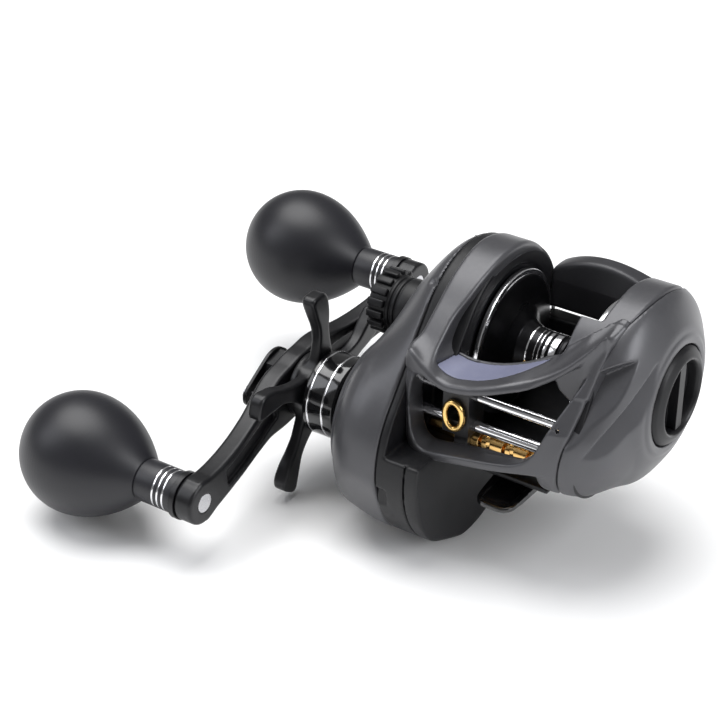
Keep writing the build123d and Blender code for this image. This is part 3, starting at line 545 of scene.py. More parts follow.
# ---------------------------------------------------------------- handle side plate
def handle_hull(p, inset=0.0):
    """Outside of the handle side plate, drawn in by inset."""
    x, y, z = p
    back = -x
    stations = (25.0, 28.0, 31.5, 35.0, 39.0, 42.0)
    ay = flow(back, stations, (0, -0.8, -2.5, -4.0, -6.5, -8.5))
    az = flow(back, stations, (0, -0.6, -2.0, -3.5, -7.0, -10.0))
    ra = flow(back, stations, (24.0, 22.6, 19.6, 15.6, 10.5, 7.0))
    rb = flow(back, (25.0, 34.0, 36.0, 39.0, 42.0), (25.5, 25.5, 25.0, 23.0, 18.5))
    outline = bean(y, z, (ay, az), ra - inset, DRIVE, rb - inset)
    low = facing(p, (-25, DRIVE[0] - 25.6, DRIVE[1] - 2.5), (-0.06, -0.93, -0.36)) + inset
    floor = facing(p, (-25, DRIVE[0] - 14.5, DRIVE[1] - 21.5), (-0.35, -0.42, -0.9)) + inset
    return common(common(outline, low, 0.8), floor, 1.6)


def handle_plate(p):
    x = p[0]
    shell = common(handle_hull(p), between(x, -43.0, SEAM_X - 0.08), 0.7)
    boss = common(wheel(p, 11.3, DRIVE), between(x, -43.3, -38), 0.6)
    shell = merge(shell, boss, 1.2)
    tower = common(wheel(p, 8.7), between(x, -38.2, -30), 0.7)
    shell = merge(shell, tower, 2.0)
    groove = rod(p, (-26.4, -20.5, 21.0), (-26.2, -26.5, 9.0), 1.7)
    shell = cut(shell, groove, 1.0)
    dent = rod(p, (-25.5, -15.4, 19.6), (-27.5, -14.2, 18.8), 1.3)
    shell = cut(shell, dent, 0.5)
    room = np.maximum(handle_hull(p, 1.5), between(x, -41.4, -26.2))
    shell = cut(shell, room, 0.3)
    shell = cut(shell, np.maximum(handle_hull(p, 3.6), between(x, -30, -20)), 0.3)
    shell = cut(shell, np.maximum(wheel(p, 7.0, DRIVE), x + 30), 0.3)
    shell = cut(shell, np.maximum(wheel(p, 7.6), x + 38.2), 0.3)
    return cut(shell, np.maximum(wheel(p, 5.1), x + 35.0), 0.3)


def make_handle_plate():
    low, high = (-44.2, -42.5, -48.5), (-24.2, 26, 26)
    cast("handle_side_plate_shell", handle_plate, low, high, 0.48, SHELL, "frame", ["handle_side_plate"])


# ---------------------------------------------------------------- palm side plate
SEAM_TURNS = (-110, -80, -40, -20, 0, 24, 45, 57, 72, 100, 120, 150, 170)
SEAM_PLACES = (19.2, 19.0, 15.6, 16.6, 18.2, 20.0, 20.8, 21.8, 23.4, 24.4, 24.0, 20.6, 19.2)


def about_spool(p):
    """Degrees round the spool's axis, 0 at the front and 90 on top."""
    return np.degrees(np.arctan2(p[2], -p[1]))


def palm_seam(p):
    """Where the hood ends and the palm side plate starts."""
    return flow(about_spool(p), SEAM_TURNS, SEAM_PLACES)


def palm_hull(p, inset=0.0):
    x, y, z = p
    stations = (14.0, 16.5, 19.2, 22.5, 26.0, 29.0, 31.0)
    ra = flow(x, stations, (24.6, 24.7, 24.8, 24.7, 22.7, 18.2, 14.5))
    by = flow(x, stations, (-16.4, -16.0, -15.5, -13.5, -9.5, -3.0, -1.0))
    bz = flow(x, stations, (-6.8, -6.8, -6.7, -6.1, -3.9, -1.2, -0.5))
    rb = flow(x, stations, (15.1, 15.0, 14.8, 14.3, 14.3, 15.0, 13.4))
    return bean(y, z, (0, 0), ra - inset, (by, bz), rb - inset)


def wing(p, tip, low_a, low_b, deep):
    """Hollow facet: a plane from a ridge down to a deep point, and a wall back up from there to the tip."""
    tip, low_a, low_b, deep = (np.array(q, float) for q in (tip, low_a, low_b, deep))
    facet = np.cross(low_b - low_a, deep - low_a)
    facet *= -np.sign(facet[Y])
    wall = np.cross(deep - tip, facet)
    wall *= np.sign(wall[Z])
    return common(-facing(p, low_a, facet), facing(p, tip, wall), 0.15)


PALM_WINGS = (
    ((27.0, -14.6, 15.6), (27.0, -14.6, 15.6), (17.6, -30.1, -2.8), (19.3, -19.0, 10.8)),
    ((28.9, -15.9, 9.6), (30.4, -15.5, 1.9), (20.0, -29.3, -3.6), (25.4, -19.6, 3.9)),
)


def palm_plate(p):
    x = p[0]
    shell = common(palm_hull(p), np.maximum(palm_seam(p) + 0.12 - x, x - 30.2), 0.6)
    shell = merge(shell, common(wheel(p, 14.3), between(x, 24, 30.6), 0.8), 1.5)
    for corners in PALM_WINGS:
        shell = cut(shell, wing(p, *corners), 0.25)
    shell = cut(shell, np.maximum(wheel(p, 12.55), 28.0 - x), 0.25)
    room = np.maximum(palm_hull(p, 4.2), between(x, 0, 26.0))
    return cut(shell, room, 0.3)


def make_palm_plate():
    low, high = (14.0, -35, -26), (31.2, 26, 26)
    cast("palm_side_plate_shell", palm_plate, low, high, 0.4, SHELL, "frame", ["palm_side_plate"])


# ---------------------------------------------------------------- hood round the line window and spool
LIP_X = (-25, -21.5, -15, -6, 3, 9, 14, 18)
LIP_LOW_Y = (-29.5, -32.0, -33.5, -34.0, -33.7, -32.6, -31.0, -29.0)
HOOD_X = (-26, -21.5, -17.4, -12.5, -7, -1.6, 3.2, 8, 13.6, 17.3, 20.6)
HOOD_FRONT_Y = (-29.5, -32.3, -33.3, -34, -34, -33.2, -31.6, -28.8, -25.1, -22.3, -18.7)
HOOD_EDGE_Z = (9.5, 8.6, 6.3, 4.2, 4.6, 6.0, 7.5, 8.8, 12.0, 15.5, 19.0)
LIP_BOTTOM_X = (-24.6, -21, -18.3, -12, -5.7, 7.1, 12.9, 16.2, 18)
LIP_BOTTOM_Z = (-14.6, -16.6, -17.1, -16.0, -14.7, -12.5, -11.7, -10.8, -10.0)
WELL_X = (-16, -10, -4, 3, 8, 12.9, 16)
WELL_Y = (-21.7, -22, -21.7, -20.6, -18.9, -17.7, -15)
WELL_Z = (8.3, 7.6, 8.4, 10.8, 13.4, 15.3, 17.9)
LIP_T = 2.5
SIDE_Z = (-10, -4, 2, 7, 12)
SIDE_X = (-24.9, -24.9, -24.1, -22.8, -22.2)
# the band beside the handle plate: its outside, and its inner edge, by turn round the spool
BAND_TURNS = (0, 14, 26, 40, 60, 85, 110, 135, 170)
BAND_R = (34.0, 32.6, 29.2, 26.7, 25.7, 25.5, 24.6, 23.8, 23.6)
BAND_X = -22.2
BAND_IN_TURNS = (0, 26, 35, 51, 73, 90, 120, 150)
BAND_IN_X = (-16.4, -16.5, -16.4, -15.0, -13.8, -13.4, -13.9, -14.0)
# the arm beside the palm plate: its inner edge
ARM_IN_TURNS = (0, 35, 45, 60, 90, 150)
ARM_IN_X = (12.5, 12.9, 15.4, 16.3, 16.9, 17.0)
SHELL_IN_R = 21.4       # inside of the band
WELL_R = 23.3           # opening over the spool
SPOOL_ROOM_R = 19.2
# room for the line guide from end to end of its travel: x, y and z from and to, and the corners' radius
GUIDE_ROOMS = ((-21, 16.2, -29.7, -15, -11.6, 1.2, 0.5), (-21, 16.2, -25.3, -15, -20.5, -11, 0.3))


def hood_front(x, z):
    share = np.clip(z / 10.0, 0, 1)
    return flow(x, LIP_X, LIP_LOW_Y) * (1 - share) + flow(x, HOOD_X, HOOD_FRONT_Y) * share


def deck_top(x, y):
    """Height of the deck between the lip over the window and the well of the spool."""
    front, back = flow(x, HOOD_X, HOOD_FRONT_Y) + 1.0, flow(x, WELL_X, WELL_Y)
    near = flow(x, HOOD_X, HOOD_EDGE_Z) + 2.2
    share = np.clip((y - front) / (back - front), -0.2, 1.5)
    return near + (flow(x, WELL_X, WELL_Z) - near) * share


def line_window(p):
    x, y, z = p
    low = flow(x, LIP_BOTTOM_X, LIP_BOTTOM_Z) + LIP_T - z
    depth = np.clip((y - hood_front(x, z)) / 6.0, 0, 1)
    high = z - flow(x, HOOD_X, HOOD_EDGE_Z) - 0.2 * depth
    left = flow(z, (-10, -4, 2, 6), (-21.6, -22.4, -21.2, -19.6)) - x
    right = (x - 13.6 - 0.4 * z) * 0.93
    sides = np.maximum(left, right)
    return common(common(low, high, 1.5), sides, 5.0)


def hood(p):
    x, y, z = p
    turn = about_spool(p)
    front = hood_front(x, z)
    seam = x - palm_seam(p)
    bottom = flow(x, LIP_BOTTOM_X, LIP_BOTTOM_Z) - z
    outline = common(bottom, np.maximum(flow(z, SIDE_Z, SIDE_X) - x, seam), 3.2)
    outline = common(outline, z - flow(x, HOOD_X, HOOD_EDGE_Z) - 1.6, 2.0)
    mouth = common(outline, np.maximum(front - y, y - front - 6.5), 1.3)
    deck = common(z - deck_top(x, y), flow(x, HOOD_X, HOOD_EDGE_Z) - z, 1.0)
    deck = common(deck, np.maximum(np.maximum(BAND_X - x, seam), np.maximum(front - y, y + 14.0)), 1.3)
    radius = np.hypot(y, z)
    outer = flow(turn, BAND_TURNS, BAND_R)
    left_in = flow(turn, BAND_IN_TURNS, BAND_IN_X)
    left = common(between(x, BAND_X, left_in), between(radius, SHELL_IN_R, outer), 1.2)
    left = common(left, np.maximum(np.maximum(7.0 - z, front - y), turn - 150), 0.8)
    right_in = flow(turn, ARM_IN_TURNS, ARM_IN_X)
    right = common(np.maximum(right_in - x, seam), np.maximum(palm_hull(p), 21.6 - radius), 1.0)
    right = common(right, np.maximum(18 - turn, turn - 150), 0.5)
    flank = common(np.maximum(11.0 - x, seam), np.maximum(palm_hull(p), -palm_hull(p, 3.0)), 1.0)
    flank = common(flank, np.maximum(-turn - 42, turn - 60), 0.8)
    whole = merge(merge(mouth, deck, 1.0), merge(left, right, 0.5), 3.0)
    whole = merge(whole, flank, 1.4)
    whole = cut(whole, common(line_window(p), y + 22.0, 0.5), 0.7)
    for room in GUIDE_ROOMS:
        whole = cut(whole, brick(p, *room), 0.3)
    well = common(wheel(p, WELL_R), np.maximum(left_in - x, x - right_in), 3.0)
    whole = cut(whole, well, 0.8)
    whole = np.maximum(whole, -np.maximum(wheel(p, SPOOL_ROOM_R), between(x, -40, 40)))
    inlay = np.maximum(badge_outline(p), -(z - deck_top(x, y) + 1.4))
    return cut(whole, inlay, 0.12)


def badge_outline(p, inset=0.0):
    """Crescent on the deck: along the well behind, along the lip in front, its left end slanted."""
    x, y, z = p
    behind = 24.3 - np.hypot(y, z)
    ahead = flow(x, HOOD_X, HOOD_FRONT_Y) + flow(x, (-18, -8, 0, 6, 10), (3.6, 3.4, 4.2, 6.2, 8.0)) - y
    end = (-15.2 - x) * 0.93 + (y + 26) * 0.2
    return common(common(behind, ahead, 0.4), end, 0.5) + inset


def badge(p):
    x, y, z = p
    height = z - deck_top(x, y)
    return common(badge_outline(p, 0.12), between(height, -1.3, -0.14), 0.1)


def make_hood():
    low, high = (-25.6, -35.2, -20), (25.4, 24.5, 26.4)
    cast("front_hood", hood, low, high, 0.4, SHELL, "frame", ["front_cover"])
    low, high = (-18.5, -33.5, 4.5), (11, -18, 15)
    cast("deck_inlay", badge, low, high, 0.24, BADGE, "frame", ["deck_badge"])


# ---------------------------------------------------------------- black frame with the gear case
def gear_case(p):
    x, y, z = p
    case = common(bean(y, z, SPOOL, RING_R - 0.3, DRIVE, CASE_R - 0.15), between(x, SEAM_X + 0.1, -14.0), 0.5)
    case = common(case, facing(p, (-15, DRIVE[0] - 14.5, DRIVE[1] - 20.6), (0.1, -0.42, -0.9)), 1.2)
    case = common(case, facing(p, (-14, DRIVE[0] - 24.6, DRIVE[1] - 4.0), (0.45, -0.86, -0.2)), 1.0)
    case = cut(case, brick(p, -23.4, -12, -60, -19, -15.6, 6.0, 0.6), 0.4)
    rim = -bean(y, z, SPOOL, RING_R - 1.0, DRIVE, CASE_R - 0.9)
    case = cut(case, np.maximum(np.abs(x + 17.6) - 0.22, rim), 0.15)
    case = cut(case, brick(p, -26, -22.6, -44, -39.6, DRIVE[1] - 7.4, DRIVE[1] - 2.2, 0.5), 0.3)
    notch = brick(p, -19.2, -16.8, -45, -36.6, DRIVE[1] - 20.0, DRIVE[1] - 16.4, 0.3)
    return cut(case, notch, 0.3)


def frame_body(p):
    x, y, z = p
    palm = common(bean(y, z, SPOOL, RING_R - 0.2, (-14.6, -7.3), 14.9), between(x, 16.8, 20.4), 0.5)
    span = (-14.6, 17.4)
    rear = brick(p, *span, 19.4, 24.2, -17, -2.8, 0.7)
    bridge = brick(p, *span, -16, 20.5, -22, -19.3, 0.5)
    strut = brick(p, *span, 17.6, 20.4, -21, -15, 0.5)
    floor = brick(p, -14.6, 11.0, -23.5, -15, -22, -20.7, 0.4)
    body = np.minimum(np.minimum(rear, bridge), np.minimum(strut, floor))
    body = np.minimum(np.minimum(body, palm), gear_case(p))
    body = cut(body, np.maximum(wheel(p, 19.0), between(x, -14.4, 24)), 0.4)
    body = cut(body, np.maximum(wheel(p, 5.0), between(x, -18, -13)), 0.2)
    slot = brick(p, -18, -13, 19.1, 21.5, -2.3, 4.8, 0.2)
    body = cut(body, slot, 0.2)
    return cut(body, np.maximum(wheel(p, 7.0, DRIVE), x + 20.5), 0.2)


def make_frame_body():
    low, high = (-25.6, -42.0, -48.0), (21, 25, 25)
    cast("frame_casting", frame_body, low, high, 0.45, CASE, "frame", ["frame"])


# ---------------------------------------------------------------- spool
def make_spool():
    """Spool with bright rims, black hollow flanges, and a banded arbor."""
    half = 13.6
    arbor_r, groove_r, rim_r = 5.4, 5.0, 18.2
    right = [(0.0, arbor_r)]
    for x in (1.0, 2.6):
        right += [(x, arbor_r), (x + 0.1, groove_r), (x + 0.5, groove_r), (x + 0.6, arbor_r)]
    right += [(4.2, arbor_r), (6.4, 5.6), (8.8, 6.7), (10.5, 9.4), (11.3, 13.0), (12.0, 16.6), (12.3, 17.2),
              (12.4, rim_r), (half, rim_r), (half, 16.6), (12.7, 16.2), (12.2, 13.2), (11.8, 9.6),
              (11.4, 1.6)]
    left = [(-x, r) for x, r in reversed(right[1:])]

    def bands(x, r):
        if r > 16.9:
            return 1
        if abs(x) < 6.4 and 5.2 < r < 5.7 and x < 0.9:
            return 1 if int(abs(x) * 1.4) % 2 == 0 else 0
        return 0

    turned("spool_turned", right + left + [right[0]], SPOOL, [SPOOL_BLACK, SILVER], "spool", ["spool"],
           by=0.25, around=160, bands=bands)


# ---------------------------------------------------------------- handle arm
ARM_T = 5.1
ARM_EYE_R = 5.7         # round a knob post
ARM_HUB_R = 8.0
ARM_BORE_R = 3.05       # over the drive shaft
POST_BORE_R = 2.45      # over a knob post


def arm_x(u):
    """Reel-side face of the arm at a distance u along it from the drive shaft."""
    stations = (0, 9, 14, 22, 32, 40, 50, 60)
    return flow(np.abs(u), stations, (-63.7, -63.7, -63.3, -61.8, -60.2, -59.5, -59.4, -59.4))


def handle_arm(p):
    x = p[0]
    u, v = swing(p, DRIVE, ARM_TILT)
    half = (KNOBS["rear"][0] - KNOBS["front"][0]) / 2 / math.cos(ARM_TILT)
    width = flow(np.abs(u), (0, 9, 18, 33, 42, half), (8.0, 7.6, 5.4, 4.5, 4.9, 5.6))
    blade = common(np.abs(v) - width, np.abs(u) - half, 0.3)
    ends = np.minimum(np.hypot(u - half, v), np.hypot(u + half, v)) - ARM_EYE_R
    outline = merge(blade, ends, 1.0)
    outline = merge(outline, np.hypot(u, v) - ARM_HUB_R, 1.0)
    face = arm_x(u)
    arm = common(outline, np.maximum(x - face, face - ARM_T - x), 0.9)
    pocket = common(np.abs(v) - flow(u, (12, 20, 40), (2.6, 2.4, 1.6)), between(u, 11, 40), 1.2)
    arm = cut(arm, common(pocket, face - 1.6 - x, 0.3), 0.3)
    arm = cut(arm, common(common(np.abs(v) - 2.4, between(u, -38, -12), 1.2), face - 1.2 - x, 0.3), 0.3)
    arm = cut(arm, np.hypot(u, v) - ARM_BORE_R, 0.2)
    for sign in (-1, 1):
        arm = cut(arm, np.hypot(u - sign * half, v) - POST_BORE_R, 0.15)
    return arm


def make_arm():
    low, high = (-69.6, -70.5, -36.5), (-58.6, 39.5, -7.0)
    cast("handle_arm_forged", handle_arm, low, high, 0.36, ARM_BLACK, "handle", ["handle_arm"])


# ---------------------------------------------------------------- star drag
STAR_ARMS = 5
STAR_FIRST = math.radians(84.0)
STAR_HUB_R = 8.6


def star(p):
    x, y, z = p
    dy, dz = y - DRIVE[0], z - DRIVE[1]
    radius = np.hypot(dy, dz)
    turn = np.arctan2(dz, dy) - STAR_FIRST - 0.16 * (radius / 27.0) ** 2 + 0.02
    step = 2 * math.pi / STAR_ARMS
    near = (turn + step / 2) % step - step / 2
    across = np.abs(near) * radius
    width = flow(radius, (6, 10, 17, 22, 27), (5.2, 3.4, 2.1, 2.9, 3.3))
    arm = common(across - width, radius - 27.4, 2.2)
    lean = 0.9 * np.clip((radius - 14) / 10, 0, 1)
    arm = common(arm, between(x, -60.5 - lean, -57.6), 0.8)
    hub = common(radius - STAR_HUB_R, between(x, -63.1, -57.5), 0.6)
    whole = merge(arm, hub, 1.6)
    return cut(whole, radius - 3.1, 0.2)


def make_star():
    low, high = (-63.8, -44.5, -50.2), (-56.8, 13.5, 7.6)
    cast("star_drag_wheel", star, low, high, 0.36, ARM_BLACK, "star", ["star_drag"])


# ---------------------------------------------------------------- collar, boot and tension knob
def make_collar():
    """Drag collar with two silver lines sunk into it, and the stepped boot behind it."""
    bore, radius, sunk = 6.95, 10.8, 10.72
    lines, half = (-55.2, -50.9), 0.28
    profile = [(-57.0, bore), (-57.0, 10.3), (-56.4, radius)]
    for line in lines:
        profile += [(line - half, radius), (line - half + 0.05, sunk)]
        profile += [(line + half - 0.05, sunk), (line + half, radius)]
    profile += [(-48.2, radius), (-47.7, 10.3), (-47.7, bore), (-57.0, bore)]

    def bands(x, r):
        return 1 if 10.6 < r < 10.78 and any(abs(x - line) < half for line in lines) else 0

    turned("drag_collar_ring", profile, DRIVE, [GLOSS, SILVER], "frame", ["drag_collar"],
           by=0.12, around=128, bands=bands)
    boot = [(-47.6, bore), (-47.6, 9.1), (-47.0, 9.3), (-46.2, 9.3), (-45.9, 9.9), (-45.3, 10.0),
            (-44.6, 10.0), (-44.4, 9.5), (-44.0, 9.5), (-43.8, 10.0), (-43.3, 10.0), (-43.3, bore),
            (-47.6, bore)]
    turned("boot_ring", boot, DRIVE, CASE, "frame", ["collar_boot"], by=0.15, around=112)


def make_tension_knob():
    """Tension knob: grip with ribs, then a grooved collar; hollow to go over its boss."""
    bore = 6.3
    profile = [(-50.4, 0.0), (-50.4, 6.4), (-49.9, 7.3), (-45.1, 7.3), (-44.9, 7.1), (-44.4, 7.1),
               (-44.2, 6.7), (-43.8, 6.7), (-43.6, 7.2), (-42.9, 7.2), (-42.7, 6.8), (-42.3, 6.8),
               (-42.1, 7.3), (-38.7, 7.2), (-38.7, bore), (-48.7, bore), (-48.7, 0.0)]
    turned("tension_knob_body", profile, SPOOL, CASE, "tension", ["tension_knob"], by=0.2,
           around=96)
    around_axis("tension_ribs", 16, 7.4, SPOOL, -47.6, (4.6, 1.9, 1.9), CASE, "tension")


# ---------------------------------------------------------------- what repeats round an axis
def make_rib_ring():
    """Geometry nodes: bevelled blocks standing round a circle about x."""
    tree = bpy.data.node_groups.new("rib_ring", "GeometryNodeTree")
    tree.interface.new_socket("Geometry", in_out="INPUT", socket_type="NodeSocketGeometry")
    for label, kind, value in (("Count", "NodeSocketInt", 12), ("Radius", "NodeSocketFloat", 0.007),
                               ("Size", "NodeSocketVector", (0.004, 0.002, 0.002)),
                               ("Material", "NodeSocketMaterial", None)):
        socket(tree, label, kind, "INPUT", value)
    tree.interface.new_socket("Geometry", in_out="OUTPUT", socket_type="NodeSocketGeometry")
    nodes, links = tree.nodes, tree.links
    start, end = nodes.new("NodeGroupInput"), nodes.new("NodeGroupOutput")
    circle = nodes.new("GeometryNodeMeshCircle")
    links.new(start.outputs["Count"], circle.inputs["Vertices"])
    links.new(start.outputs["Radius"], circle.inputs["Radius"])
    block = nodes.new("GeometryNodeMeshCube")
    links.new(start.outputs["Size"], block.inputs["Size"])
    index = nodes.new("GeometryNodeInputIndex")
    turn = nodes.new("ShaderNodeMath")
    turn.operation = "DIVIDE"
    links.new(index.outputs[0], turn.inputs[0])
    links.new(start.outputs["Count"], turn.inputs[1])
    full = nodes.new("ShaderNodeMath")
    full.operation = "MULTIPLY"
    full.inputs[1].default_value = 2 * math.pi
    links.new(turn.outputs[0], full.inputs[0])
    spin = nodes.new("ShaderNodeCombineXYZ")
    links.new(full.outputs[0], spin.inputs["Z"])
    place = nodes.new("GeometryNodeInstanceOnPoints")
    links.new(circle.outputs["Mesh"], place.inputs["Points"])
    links.new(block.outputs["Mesh"], place.inputs["Instance"])
    links.new(spin.outputs[0], place.inputs["Rotation"])
    real = nodes.new("GeometryNodeRealizeInstances")
    links.new(place.outputs[0], real.inputs[0])
    paint = nodes.new("GeometryNodeSetMaterial")
    links.new(real.outputs[0], paint.inputs["Geometry"])
    links.new(start.outputs["Material"], paint.inputs["Material"])
    links.new(paint.outputs[0], end.inputs["Geometry"])
    return tree


RIB_RING = make_rib_ring()


def set_input(modifier, tree, name, value):
    for item in tree.interface.items_tree:
        if item.item_type == "SOCKET" and item.in_out == "INPUT" and item.name == name:
            modifier[item.identifier] = value


def around_axis(name, count, radius, at, x, size, material, body, bevel=0.35):
    """Blocks of size (along x, across, outwards) standing round the x axis through at."""
    carrier = bpy.data.objects.new(name + "_tree", bpy.data.meshes.new(name + "_tree"))
    bpy.context.scene.collection.objects.link(carrier)
    modifier = carrier.modifiers.new("rib_ring", "NODES")
    modifier.node_group = RIB_RING
    set_input(modifier, RIB_RING, "Count", count)
    set_input(modifier, RIB_RING, "Radius", radius * MM)
    set_input(modifier, RIB_RING, "Size", tuple(v * MM for v in (size[2], size[1], size[0])))
    set_input(modifier, RIB_RING, "Material", material)
    rounding = carrier.modifiers.new("rounding", "BEVEL")
    rounding.width = bevel * MM
    rounding.segments = 3
    carrier.update_tag()
    bpy.context.view_layer.update()
    shape = bpy.data.meshes.new_from_object(carrier.evaluated_get(bpy.context.evaluated_depsgraph_get()))
    shape.name = name
    bpy.data.objects.remove(carrier)
    middle_at = to_frame((x, at[0], at[1]))
    turn = Matrix.Translation(Vector(middle_at)) @ Matrix(((0, 0, 1), (1, 0, 0), (0, 1, 0))).to_4x4()
    shape.transform(turn)
    shape.materials.clear()
    shape.materials.append(material)
    shape.shade_smooth()
    shape.set_sharp_from_angle(angle=math.radians(35))
    obj = bpy.data.objects.new(name, shape)
    bpy.context.scene.collection.objects.link(obj)
    return settle_in(obj, body, ())


# ---------------------------------------------------------------- brake dial
def make_dial():
    """Brake dial: a rounded ring whose inner lip has its own finish."""
    profile = [(28.45, 8.45), (28.45, 12.2), (30.6, 12.25), (31.5, 11.6), (32.4, 10.0), (32.5, 9.5),
               (32.2, 9.1), (31.4, 8.7), (29.6, 8.5), (28.45, 8.45)]

    def bands(x, r):
        return 1 if x > 31.9 and r < 9.6 else 0

    turned("brake_dial_ring", profile, SPOOL, [CASE, ARM_BLACK], "dial", ["brake_dial"], by=0.3,
           around=128, bands=bands)


# ---------------------------------------------------------------- thumb bar
def thumb_bar(p):
    x, y, z = p
    crown = flow(x, (-13.7, -11.4, -6, -1, 5, 10, 13, 16.5), (10.6, 12.0, 14.2, 15.0, 14.6, 13.2, 12.0, 10.2))
    rise = z - crown + np.clip((y - 22) / 9.0, -1, 1) ** 2 * 2.0
    face = facing(p, (0, 28.6, 6.0), (0, 0.94, 0.34))
    front = 19.4 - y + np.clip((z - 8) * 0.12, 0, 1)
    bar = common(common(rise, 0.0 - z, 0.5), np.maximum(face, front), 1.2)
    bar = common(bar, between(x, -13.7, 16.5), 0.8)
    post = brick(p, -17.3, -13.0, 19.45, 21.15, 0.5, 4.5, 0.2)
    return np.minimum(bar, post)


def make_thumb_bar():
    low, high = (-17.8, 18.4, -0.6), (17.2, 31.0, 16.2)
    cast("thumb_bar_pad", thumb_bar, low, high, 0.34, THUMB, "thumb", ["thumb_bar"])


# ---------------------------------------------------------------- reel foot
def foot(p):
    x, y, z = p
    low = -26.5
    half = 5.5 - 0.9 * np.clip((np.abs(y) - 18) / 12, 0, 1) ** 2
    top = low + flow(np.abs(y + 0.5), (0, 14.5, 22, 30), (2.3, 2.3, 1.7, 1.2))
    outline = common(np.abs(x) - half, np.abs(y + 0.5) - 30.0, 3.2)
    plate = common(outline, np.maximum(low - z, z - top), 0.35)
    trough = common(np.abs(x) - 3.6, between(y, -29.0, -17.5), 1.5)
    plate = cut(plate, common(trough, top - 0.5 - z, 0.3), 0.3)
    stem = common(np.abs(x) - 4.6, between(y, -16.0, 14.0), 1.6)
    stem = common(stem, between(z, -25.5, -22.0), 0.1)
    return merge(plate, stem, 0.8)


def make_foot():
    low, high = (-6.4, -31.4, -27.0), (6.4, 30.4, -21.6)
    cast("reel_foot_plate", foot, low, high, 0.33, GLOSS, "frame", ["reel_foot"])


# ---------------------------------------------------------------- knobs
def make_knob(end):
    """Round power knob: ball, crease, straight stem with three silver rings, and a hole for its post."""
    ball_r, ball_x, stem_x, stem_r, end_x = 15.5, -97.3, -77.3, 5.35, -66.2
    sunk, bore, hole_x, steps = 0.12, 2.1, -92.4, 24
    profile = [(ball_x - ball_r, 0.0)]
    for k in range(1, steps + 1):
        a = math.pi / 2 * k / steps
        profile.append((ball_x - ball_r * math.cos(a), ball_r * math.sin(a)))
    lines = [(ball_x, ball_r), (ball_x + 8.8, ball_r), (stem_x - 4.4, stem_r + 4.4), (stem_x, stem_r + 0.15)]
    for k in range(1, steps + 1):
        t = k / steps
        weights = ((1 - t) ** 3, 3 * t * (1 - t) ** 2, 3 * t**2 * (1 - t), t**3)
        profile.append(tuple(sum(w * q[i] for w, q in zip(weights, lines)) for i in (0, 1)))
    profile += [(stem_x + 0.15, stem_r - 0.35), (stem_x + 0.4, stem_r)]
    for k in range(3):
        x = end_x - 5.2 + 1.5 * k
        profile += [(x - 0.3, stem_r), (x - 0.25, stem_r - sunk)]
        profile += [(x + 0.25, stem_r - sunk), (x + 0.3, stem_r)]
    profile += [(end_x, stem_r), (end_x, bore), (hole_x, bore), (hole_x, 0.0)]

    def bands(x, r):
        return 1 if abs(r - stem_r + sunk) < 0.03 and x > end_x - 6 else 0

    turned(f"knob_{end}_grip", profile, KNOBS[end], [KNOB, SILVER], f"{end}_knob", [f"knob_{end}"],
           by=0.1, around=96, bands=bands)


make_handle_plate()
make_palm_plate()
make_hood()
make_frame_body()
make_spool()
make_arm()
make_star()
make_collar()
make_tension_knob()
make_dial()
make_thumb_bar()
make_foot()
for end in KNOBS:
    make_knob(end)


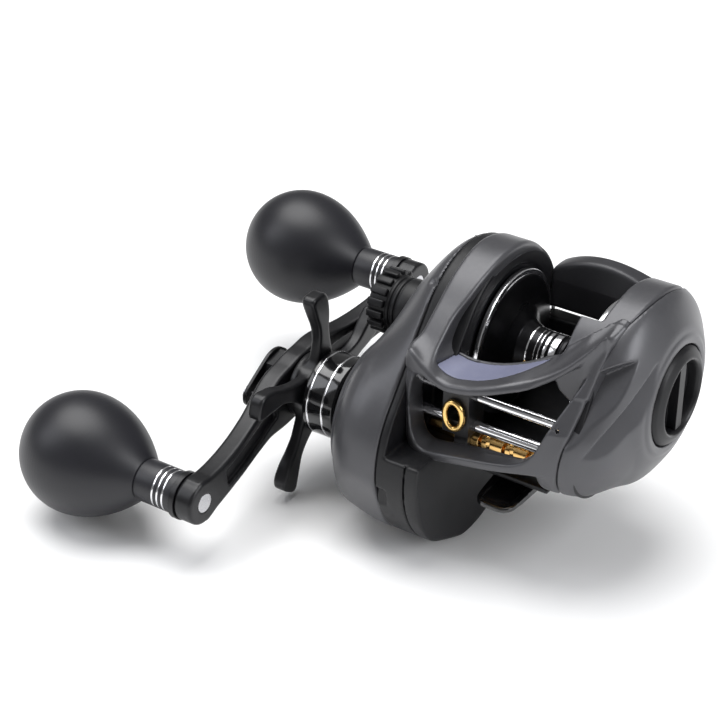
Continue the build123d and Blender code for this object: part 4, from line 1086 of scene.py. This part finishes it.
# ---------------------------------------------------------------- light, floor and camera
def make_stage():
    mesh = bpy.data.meshes.new("floor")
    half, level = 3.0, -0.0206          # the reel's lowest point
    corners = [(-half, -half, level), (half, -half, level), (half, half, level), (-half, half, level)]
    mesh.from_pydata(corners, [], [(0, 1, 2, 3)])
    floor = bpy.data.objects.new("floor", mesh)
    bpy.context.scene.collection.objects.link(floor)
    material = bpy.data.materials.new("floor_white")
    material.use_nodes = True
    shader = material.node_tree.nodes["Principled BSDF"]
    shader.inputs["Base Color"].default_value = (0.93, 0.93, 0.93, 1)
    shader.inputs["Roughness"].default_value = 0.9
    shader.inputs["Specular IOR Level"].default_value = 0.1
    mesh.materials.append(material)


def softbox(name, place, aim, size, power, colour=(1, 1, 1)):
    light = bpy.data.lights.new(name, "AREA")
    light.shape = "RECTANGLE"
    light.size, light.size_y = size
    light.energy = power
    light.color = colour
    obj = bpy.data.objects.new(name, light)
    obj.location = place
    obj.rotation_mode = "QUATERNION"
    obj.rotation_quaternion = (Vector(aim) - Vector(place)).to_track_quat("-Z", "Y")
    bpy.context.scene.collection.objects.link(obj)


def make_light():
    world = bpy.data.worlds.new("studio")
    world.use_nodes = True
    back = world.node_tree.nodes["Background"]
    back.inputs["Color"].default_value = (1, 1, 1, 1)
    back.inputs["Strength"].default_value = 0.24
    bpy.context.scene.world = world
    sun = bpy.data.lights.new("overhead", "SUN")
    sun.energy = 3.1
    sun.angle = math.radians(50)
    lamp = bpy.data.objects.new("overhead", sun)
    lamp.rotation_mode = "QUATERNION"
    lamp.rotation_quaternion = Vector((0.25, -0.1, -1.0)).to_track_quat("-Z", "Y")
    bpy.context.scene.collection.objects.link(lamp)
    aim = (-0.03, -0.01, 0.01)
    softbox("left_box", (-0.55, -0.45, 0.5), aim, (0.35, 0.5), 1.6, (0.93, 0.95, 1.0))
    softbox("right_box", (0.6, 0.0, 0.4), aim, (0.3, 0.5), 3.2, (0.97, 0.98, 1.0))


def make_camera():
    camera = bpy.data.cameras.new("camera")
    camera.sensor_width = 36.0
    camera.lens = 100.26
    obj = bpy.data.objects.new("camera", camera)
    place = Vector((186.84, -362.35, 275.87)) * MM
    right = Vector((0.829633, 0.558310, -0.000125))
    up = Vector((-0.293497, 0.436318, 0.850580))
    back = Vector((0.474941, -0.705632, 0.525846))
    obj.matrix_world = Matrix.Translation(place) @ Matrix((right, up, back)).transposed().to_4x4()
    camera.clip_start, camera.clip_end = 0.01, 20
    bpy.context.scene.collection.objects.link(obj)
    bpy.context.scene.camera = obj


make_stage()
make_light()
make_camera()
bpy.context.scene.view_settings.view_transform = "Standard"
